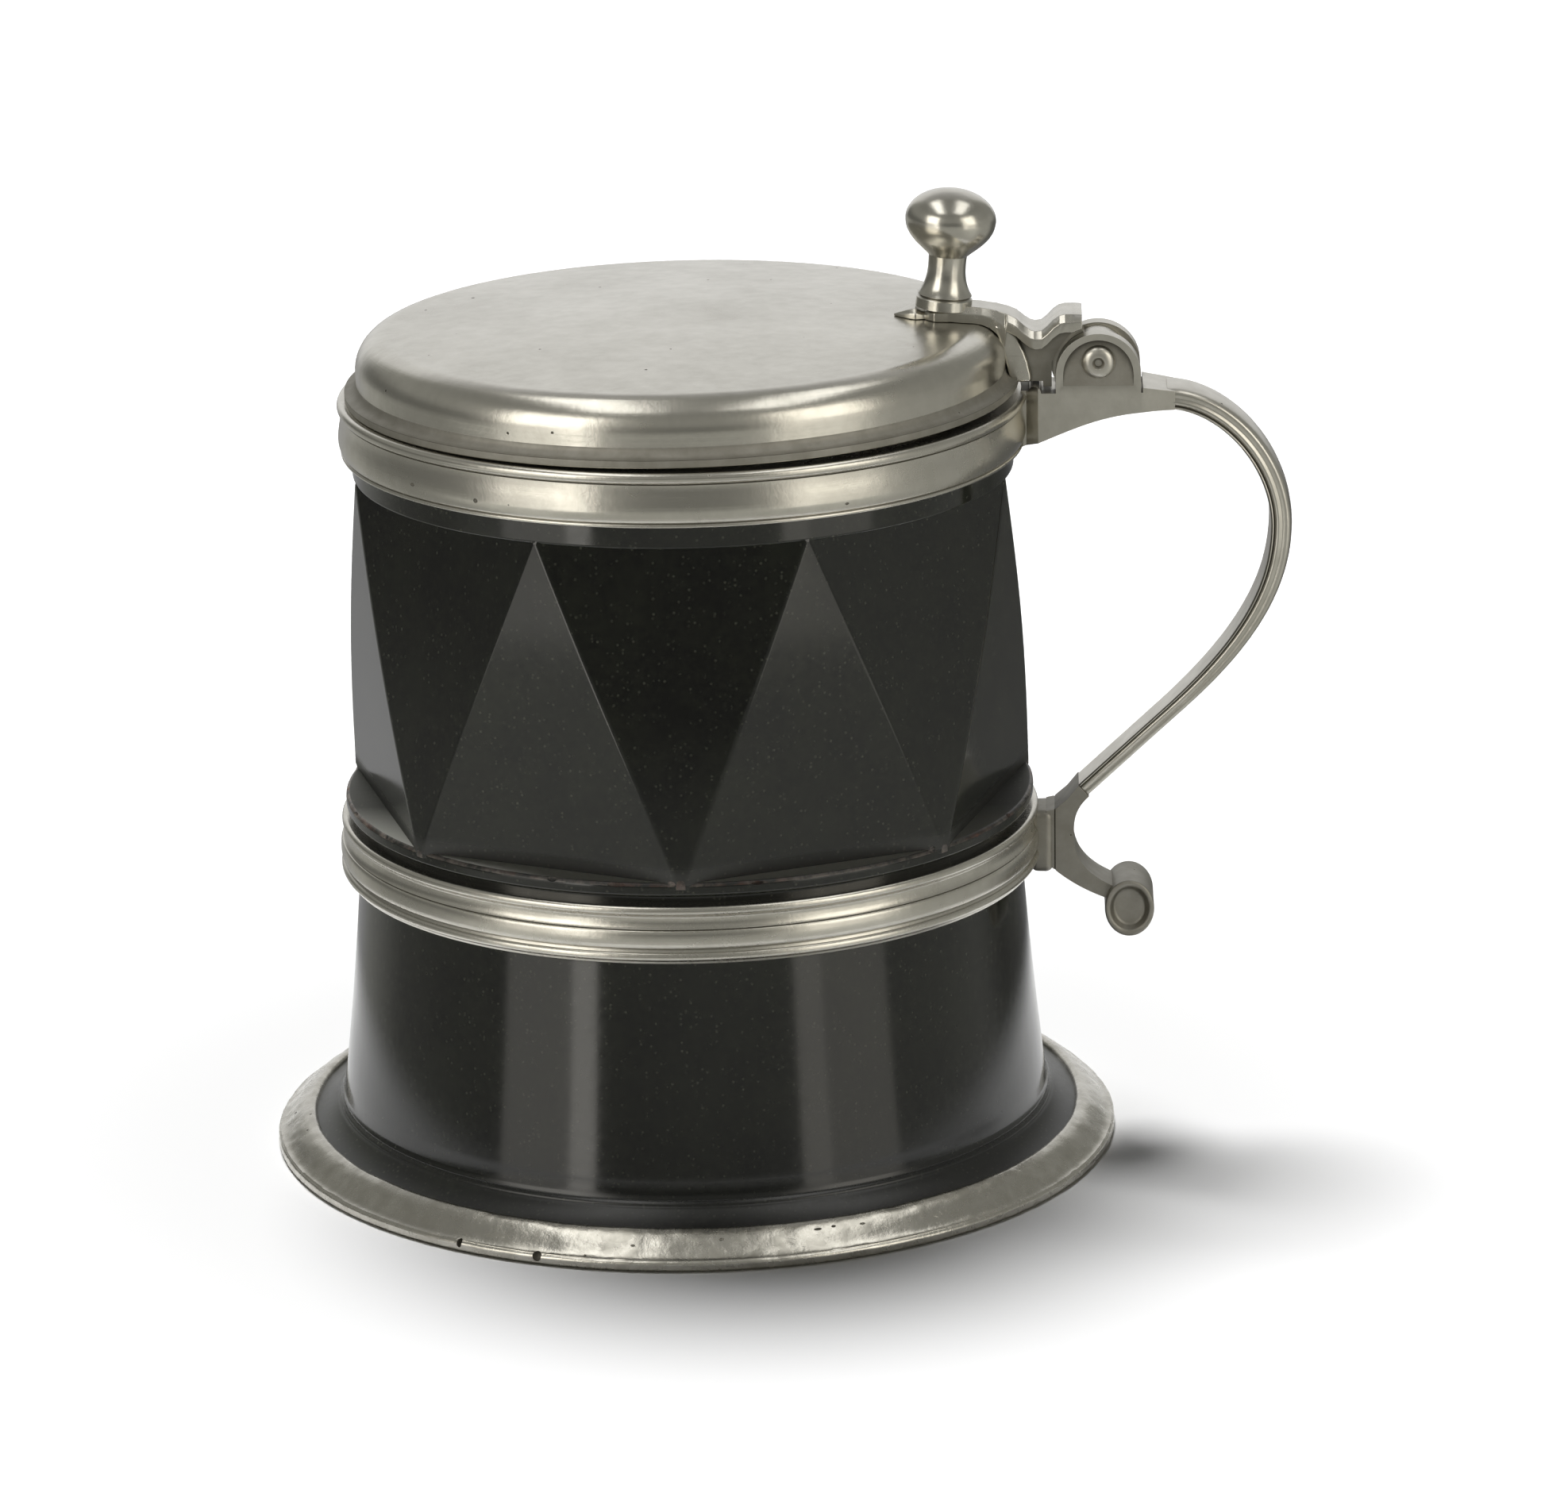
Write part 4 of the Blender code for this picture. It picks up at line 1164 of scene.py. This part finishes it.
class TANKARD_OT_hinge(bpy.types.Operator):
    """Casts the hinge's bracket with its two cheeks, and rivets the pin"""

    bl_idname = "tankard.hinge"
    bl_label = "Hinge"

    def execute(self, context):
        pewter = pewter_material(context, "hinge_pewter", 0.33, mottle=0.35, pits=0.3, grime_and_shade=0.9)
        tarnished = bpy.data.materials["tarnished_and_shaded_pewter"]
        root, end_x, seat = (53.5, 116.3), 79.6, 126.2
        arm_x, lug = 74.45, (57.1, 126.2)
        outline = [
            *swept(root, (end_x, 123.15), ((0.38, 0.55), (0.53, 1)), 24),
            (end_x, seat),
            (arm_x, seat + 0.8),
            (arm_x, seat),
            *arc(lug, 1.0, 0, 180, 8),
            (root[0], seat),
        ]
        half = 5.7
        casting = plate("hinge_casting_pewter", outline, -half, 2 * half)
        casting.data.materials.append(pewter)
        # From above it narrows to the rim band and to the handle
        plan = mirrored([(50, 3.4), (55.7, 3.6), (57.6, half), (74.2, half), (end_x + 0.1, 4.85)])
        combine(casting, plate("casting_plan", plan, 100, 50, flat=True), "INTERSECT")
        below, above, rim = 90, 150, 54.9
        rim_line = [(0, below), (rim, below), (rim, above), (0, above)]
        combine(casting, turned("rim_clearance", rim_line), "DIFFERENCE")
        arch, inner, centre = 6.85, 5.65, (PIN.x, PIN.z - 2.0)
        low = seat - 0.4
        cheek_line = [(PIN.x + arch, low), *arc(centre, arch, 0, 180, 40), (PIN.x - arch, low)]
        sunk_line = [(PIN.x + inner, seat), *arc(centre, inner, 0, 180, 40), (PIN.x - inner, seat)]
        cheek_thick, cutter = 3.0, 1.0
        for face in (-1, 1):
            start = half - cheek_thick if face > 0 else -half
            cheek = plate("cheek", cheek_line, start, cheek_thick)
            # The sunk field is deepest under the arch and runs out into the bracket's face below
            sunk = plate("sunk", sunk_line, face * (half + cutter) - cutter, 2 * cutter)
            reshape(
                bpy.ops.transform.rotate,
                value=face * radians(-11),
                orient_axis="X",
                center_override=(0, face * half * MM, (seat + 1.2) * MM),
            )
            cheek.data.materials.append(pewter)
            # The sunk field takes the darker tarnished pewter, partly as tarnished metal and partly as
            # painted shade under the arch
            sunk.data.materials.append(tarnished)
            combine(cheek, sunk, "DIFFERENCE")
            combine(casting, cheek, "UNION")
        drill(casting)
        soften(casting, 0.3, 35, 3)
        # The seat under the lid's strap takes the darker tarnished pewter, as painted shade under the strap
        slot = casting.data.materials.find(tarnished.name)
        for face in casting.data.polygons:
            x, z = face.center.x / MM, face.center.z / MM
            if face.normal.z > 0.7 and x < PIN.x - arch and z > 125:
                face.material_index = slot
        shade(casting, 35)
        hand_over(
            casting, "tankard", "pewter", pewter, "hinge_bracket", "hinge_cheek_front", "hinge_cheek_back"
        )

        head = [
            (0, 5.3), (0.55, 5.32), (0.8, 5.75), (1.0, 6.0), (1.35, 6.02), (2.0, 5.85), (2.5, 5.5),
            (2.75, 5.0), (2.75, 4.4), (1.3, 4.4),
        ]
        pin = turned("hinge_pin_pewter", mirrored(head), SMALL_STEPS, PIN)
        shade(pin, 40)
        hand_over(pin, "tankard", "pewter", pewter, "hinge_pin")
        return {"FINISHED"}


class TANKARD_OT_handle(bpy.types.Operator):
    """Bends the moulded handle strap and shapes its root, its tail and the rolled end"""

    bl_idname = "tankard.handle"
    bl_label = "Handle"

    def execute(self, context):
        pewter = pewter_material(context, "handle_pewter", 0.3, mottle=0.3, pits=0.25, grime_and_shade=0.8)
        dark = pewter_material(context, "grimy_pewter", 0.36, mottle=0.5, grime_and_shade=1.0, tarnished=0.5)
        thick, half = 3.4, 4.8
        # The mouldings along the strap's side: how far up, and how deep
        side = (
            (0.0, 0.5), (0.12, 0.15), (0.3, 0.0), (0.45, 0.06), (0.62, 0.38), (0.82, 0.08), (1.05, -0.08),
            (1.3, -0.12), (1.55, -0.02), (1.8, 0.2), (2.05, 0.22), (2.3, 0.05), (2.7, 0.06), (3.0, 0.25),
            (3.22, 0.6), (3.4, 1.3),
        )
        front = [(-half + v, u - thick / 2) for u, v in side]
        back = [(half - v, u - thick / 2) for u, v in reversed(side)]
        crest = thick / 2 + 0.12
        section = [*front, (-1.6, crest), (1.6, crest), *back]
        bend, straight, end = (96.8, 103.7), (79.13, 72.22), (64.8, 58.85)
        line = [
            (78.4, 124.75), *swept((79.75, 124.75), bend, ((0.51, 0.05), (1, 0.51)), 30),
            *bezier(bend, (96.8, 92.15), (90.11, 82.46), straight, 30)[1:],
            *[tuple(Vector(straight).lerp(Vector(end), i / 6)) for i in range(1, 7)],
        ]
        # The strap gets slighter on its way down to the root
        slight, slight_from, slight_over = 0.26, 100, 28
        sizes = [1 - slight * min(max((slight_from - z) / slight_over, 0), 1) for x, z in line]
        handle = run_along("handle_strap_pewter", section, line, sizes)
        shade(handle, 40)
        hand_over(handle, "tankard", "pewter", pewter, "handle_strap")

        slope = radians(43)
        run = Vector((cos(slope), sin(slope)))
        across = Vector((-run.y, run.x)) * thick / 2 * sizes[-1]
        joint = Vector(end) - 0.05 * run
        face, waist = 58.6, (63.1, 51.0)
        pad_foot, pad_top, pad_face = 44.9, 55.4, 59.9
        scroll_at = Vector((72.2, 0, 39.05))
        curl = arc((scroll_at.x, scroll_at.z), 4.0, 125, 160, 8)
        outline = [
            *bezier(joint - across, joint - across - 3.4 * run, (waist[0], waist[1] + 2.6), waist, 12),
            *bezier(waist, (waist[0], 47.0), (65.3, 44.4), curl[0], 14)[1:],
            *curl[1:],
            *swept(curl[-1], (face + 0.7, 45.9), ((0.33, 0.20), (0.69, 0.53)), 14)[1:],
            (face, 46.6),
            (face, pad_top),
            (60.0, pad_top + 0.3),
            (62.1, 57.5),
            tuple(joint + across),
        ]
        half_tail = 4.0
        tail = plate("handle_tail_pewter", outline, -half_tail, 2 * half_tail)
        # A seam is left where it is soldered to the pad
        seam = [(pad_face, 43), (pad_face + 0.2, 43), (pad_face + 0.2, 58), (pad_face, 58)]
        for start in (-half_tail - 0.1, half_tail - 0.3):
            combine(tail, plate("seam", seam, start, 0.4), "DIFFERENCE")
        soften(tail, 0.9, 35, 4)
        shade(tail, 35)
        hand_over(tail, "tankard", "pewter", dark, "handle_tail")

        outside = rounded([(0, 3.9), (2.6, 4.2), (3.25, 5.6), (4.05, 5.6), (4.05, 0)], 0.35)[:-1]
        scroll = turned("handle_scroll_pewter", mirrored(outside), SMALL_STEPS, scroll_at)
        # Rolled up rather than turned, it is higher than wide
        reshape(bpy.ops.transform.resize, value=(1, 1, 1.18), center_override=scroll_at * MM)
        shade(scroll, 40)
        hand_over(scroll, "tankard", "pewter", dark, "handle_scroll")

        hold = node_box("middle_band")[1].x + 0.04
        half_pad, sunk = 4.4, 1.6
        spread = asin(half_pad / hold)
        pad = begin("band_pad_pewter")
        turn = Matrix.Rotation(spread, 3, "Z")
        inside = hold - sunk
        corners = [(inside, pad_foot), (pad_face, pad_foot), (pad_face, pad_top), (inside, pad_top)]
        draw([turn @ Vector((r, 0, z)) for r, z in corners])
        fill()
        bpy.ops.mesh.spin(steps=2, angle=2 * spread, center=(0, 0, 0), axis=(0, 0, 1))
        close_up()
        soften(pad, 1.3, 40, 5)
        shade(pad, 35)
        hand_over(pad, "tankard", "pewter", dark, "band_pad")
        return {"FINISHED"}


class TANKARD_OT_stage(bpy.types.Operator):
    """Sets the floor, the lamps, the surroundings and the camera"""

    bl_idname = "tankard.stage"
    bl_label = "Studio"

    def execute(self, context):
        scene = context.scene
        stage = scene.tankard_stage
        scene.view_settings.view_transform = "Standard"

        # White paper, which glows a little away from the object's shadow
        paper, tree, shader = new_material("matt_paper")
        tree.nodes.remove(shader)
        rays = add_node(tree, "LightPath").outputs
        seen = rays["Is Camera Ray"]
        for kind in ("Is Glossy Ray", "Is Transmission Ray"):
            seen = add_node(tree, "Math", {"operation": "MAXIMUM"}, {0: seen, 1: rays[kind]}).outputs[0]
        place = add_node(tree, "TexCoord").outputs["Object"]
        away = add_node(tree, "VectorMath", {"operation": "LENGTH"}, {0: place})
        lift = add_node(
            tree,
            "MapRange",
            {"interpolation_type": "SMOOTHSTEP"},
            {"Value": away.outputs["Value"], "From Min": 0.075, "From Max": 0.2, "To Max": 0.3},
        )
        level = add_node(tree, "Math", {"operation": "MULTIPLY"}, {0: seen, 1: lift.outputs[0]})
        glow = add_node(tree, "Emission", inputs={"Strength": level.outputs[0]})
        matt = add_node(tree, "BsdfDiffuse", inputs={"Color": (*stage.paper, 1)})
        both = add_node(tree, "AddShader", inputs={0: matt.outputs[0], 1: glow.outputs[0]})
        # To reflections the sheet ends about 0.12 m from the axis, where the room's floor begins
        ending = add_node(
            tree,
            "MapRange",
            {"interpolation_type": "SMOOTHSTEP"},
            {"Value": away.outputs["Value"], "From Min": 0.105, "From Max": 0.145},
        )
        gone = add_node(
            tree, "Math", {"operation": "MULTIPLY"}, {0: rays["Is Glossy Ray"], 1: ending.outputs[0]}
        )
        clear = add_node(tree, "BsdfTransparent")
        sheet = add_node(
            tree, "MixShader", inputs={0: gone.outputs[0], 1: both.outputs[0], 2: clear.outputs[0]}
        )
        tree.links.new(sheet.outputs[0], tree.nodes["Material Output"].inputs["Surface"])
        bpy.ops.object.select_all(action="DESELECT")
        bpy.ops.mesh.primitive_plane_add(size=8)
        floor = context.object
        floor.name = floor.data.name = "studio_floor"
        floor.data.materials.append(paper)
        floor.visible_shadow = False

        world = bpy.data.worlds.new("studio_room")
        world.use_nodes = True
        scene.world = world
        tree = world.node_tree
        way = add_node(tree, "TexCoord").outputs["Generated"]
        parts = add_node(tree, "SeparateXYZ", inputs={0: way})
        # Each step goes from one level, or earlier step, to another as the direction turns along an axis
        steps = {}
        for name, axis, start, end, low, high in (
            ("left", "X", -0.6, -0.4, 0.0, 1.0),
            ("right", "X", 0.5, 0.3, 0.0, 1.0),
            ("back", "Y", 0.35, 0.7, 0.0, 1.0),
            ("side", "X", 0.3, 0.85, 0.15, 0.36),
            ("rise", "Z", 0.1, 0.35, "side", 0.3),
            ("over", "Z", 0.5, 0.85, "rise", 0.22),
            ("high", "Z", 0.72, 0.45, 0.42, 0.89),
            ("under", "X", 0.5, -0.5, 0.12, 0.42),
            ("beside", "X", -0.9, 0.3, 0.28, 0.4),
            ("left_floor", "X", -0.3, -0.7, 0.44, 0.66),
            ("right_floor", "X", 0.35, 0.75, "left_floor", 0.58),
            ("near", "Y", -0.35, 0.0, "right_floor", "beside"),
            ("front", "Z", -0.2, -0.3, "beside", "near"),
            ("level", "Z", -0.17, 0.0, 0.0, 1.0),
        ):
            steps[name] = add_node(
                tree,
                "MapRange",
                {"interpolation_type": "SMOOTHSTEP"},
                {
                    "Value": parts.outputs[axis],
                    "From Min": start,
                    "From Max": end,
                    "To Min": steps.get(low, low),
                    "To Max": steps.get(high, high),
                },
            ).outputs[0]
        sides = add_node(tree, "Math", {"operation": "MULTIPLY"}, {0: steps["left"], 1: steps["right"]})
        wall = add_node(tree, "Math", {"operation": "MULTIPLY"}, {0: sides.outputs[0], 1: steps["back"]})
        sky = add_node(
            tree,
            "MapRange",
            inputs={"Value": wall.outputs[0], "To Min": steps["over"], "To Max": steps["high"]},
        )
        ground = add_node(
            tree,
            "MapRange",
            inputs={"Value": steps["back"], "To Min": steps["front"], "To Max": steps["under"]},
        )
        all_round = add_node(
            tree,
            "MapRange",
            inputs={"Value": steps["level"], "To Min": ground.outputs[0], "To Max": sky.outputs[0]},
        )
        # Matt surfaces get less of the room, so that the key lamp's shadow stays deep
        matt_ray = add_node(tree, "LightPath").outputs["Is Diffuse Ray"]
        dimmed = add_node(tree, "MapRange", inputs={"Value": matt_ray, "To Min": 1.0, "To Max": 0.12})
        strength = add_node(
            tree, "Math", {"operation": "MULTIPLY"}, {0: all_round.outputs[0], 1: dimmed.outputs[0]}
        )
        tint = add_node(
            tree,
            "Mix",
            {"data_type": "RGBA"},
            {0: wall.outputs[0], 6: (1.0, 1.0, 0.93, 1.0), 7: (1.0, 1.0, 1.0, 1.0)},
        )
        room = tree.nodes["Background"]
        tree.links.new(tint.outputs[2], room.inputs["Color"])
        tree.links.new(strength.outputs[0], room.inputs["Strength"])

        # Lamps that only reflections show; the two on the ceiling hang level
        turn = stage.camera_turn
        warm, warmer, neutral = (1.0, 0.965, 0.9), (1.0, 0.955, 0.87), (1.0, 0.99, 0.97)
        for name, azimuth, height, far, size, radiance, colour in (
            ("left_softbox", -52, 25, 1.3, (0.56, 0.76), 2.3, warm),
            ("left_fill", -52, -3, 1.3, (0.56, 0.5), 0.9, warm),
            ("left_strip", -36, 13, 1.28, (0.2, 1.3), 2.4, warm),
            ("right_softbox", 54, 25, 1.3, (0.56, 0.76), 1.9, warmer),
            ("right_fill", 54, -3, 1.3, (0.56, 0.5), 0.65, warmer),
            ("right_strip", 37.5, 13, 1.28, (0.22, 1.3), 1.1, warmer),
            ("left_ceiling", -80, 74, 1.3, (0.34, 1.2), 2.2, neutral),
            ("right_ceiling", 84, 68, 1.3, (0.4, 1.1), 1.7, neutral),
        ):
            a, e = radians(azimuth) + turn, radians(height)
            way = Vector((sin(a) * cos(e), -cos(a) * cos(e), sin(e)))
            place = way * far + Vector((0, 0, 0.06))
            if name.endswith("ceiling"):
                way = Vector((-1e-4, 0, 1)) if azimuth < 0 else Vector((1e-4, 0, 1))
            facing = way.to_track_quat("Z", "Y").to_euler()
            bpy.ops.object.light_add(type="AREA", location=place, rotation=facing)
            lamp = context.object
            lamp.name = lamp.data.name = name
            lamp.data.shape = "RECTANGLE"
            lamp.data.size, lamp.data.size_y = size
            lamp.data.energy = radiance * pi * size[0] * size[1]
            lamp.data.color = colour
            lamp.visible_diffuse = False
        # The key light, for matt surfaces and the shadow alone
        way = Vector((-0.1, 0.27, 0.96)).normalized()
        facing = way.to_track_quat("Z", "Y").to_euler()
        bpy.ops.object.light_add(type="SUN", location=way * 2, rotation=facing)
        sun = context.object
        sun.name = sun.data.name = "soft_key"
        sun.data.energy = 3.6
        sun.data.angle = radians(24)
        sun.visible_glossy = False

        aim_side, aim_height = 0.0156, 0.06565
        e = stage.camera_height
        round_axis = Matrix.Rotation(turn, 3, "Z")
        spot = round_axis @ Vector((0, -stage.camera_distance * cos(e), 0))
        spot.z = aim_height + stage.camera_distance * sin(e)
        aim = round_axis @ Vector((aim_side, 0, aim_height))
        look = (aim - spot).normalized()
        right = look.cross(Vector((0, 0, 1))).normalized()
        up = right.cross(look)
        roll = stage.camera_roll
        x = right * cos(roll) + up * sin(roll)
        y = up * cos(roll) - right * sin(roll)
        turned_to = Matrix((x, y, -look)).transposed()
        bpy.ops.object.camera_add(location=spot, rotation=turned_to.to_euler())
        camera = context.object
        camera.name = camera.data.name = "front_camera"
        camera.data.lens = stage.lens
        camera.data.sensor_width = 36
        camera.data.clip_start = 0.05
        scene.camera = camera
        return {"FINISHED"}


OPERATORS = (
    TANKARD_OT_stone,
    TANKARD_OT_rings,
    TANKARD_OT_lid,
    TANKARD_OT_lid_strap,
    TANKARD_OT_hinge,
    TANKARD_OT_handle,
    TANKARD_OT_stage,
)
SETTINGS = {
    "tankard_stone": TANKARD_PG_stone,
    "tankard_pewter": TANKARD_PG_pewter,
    "tankard_stage": TANKARD_PG_stage,
}


class TANKARD_PT_pieces(bpy.types.Panel):
    """Lists the pieces and the studio"""

    bl_label = "Tankard"
    bl_idname = "TANKARD_PT_pieces"
    bl_space_type = "VIEW_3D"
    bl_region_type = "UI"
    bl_category = "Tankard"

    def draw(self, context):
        for operator in OPERATORS:
            self.layout.operator(operator.bl_idname)
        for name, group in SETTINGS.items():
            box = self.layout.box()
            for key in group.__annotations__:
                box.prop(getattr(context.scene, name), key)


def register():
    for cls in (*SETTINGS.values(), *OPERATORS, TANKARD_PT_pieces):
        bpy.utils.register_class(cls)
    for name, group in SETTINGS.items():
        setattr(bpy.types.Scene, name, PointerProperty(type=group))


def unregister():
    for name in SETTINGS:
        delattr(bpy.types.Scene, name)
    for cls in reversed((*SETTINGS.values(), *OPERATORS, TANKARD_PT_pieces)):
        bpy.utils.unregister_class(cls)


def main():
    register()
    bpy.ops.tankard.stone()
    bpy.ops.tankard.rings()
    bpy.ops.tankard.lid()
    bpy.ops.tankard.lid_strap()
    bpy.ops.tankard.hinge()
    bpy.ops.tankard.handle()
    bpy.ops.tankard.stage()


if __name__ == "__main__":
    main()
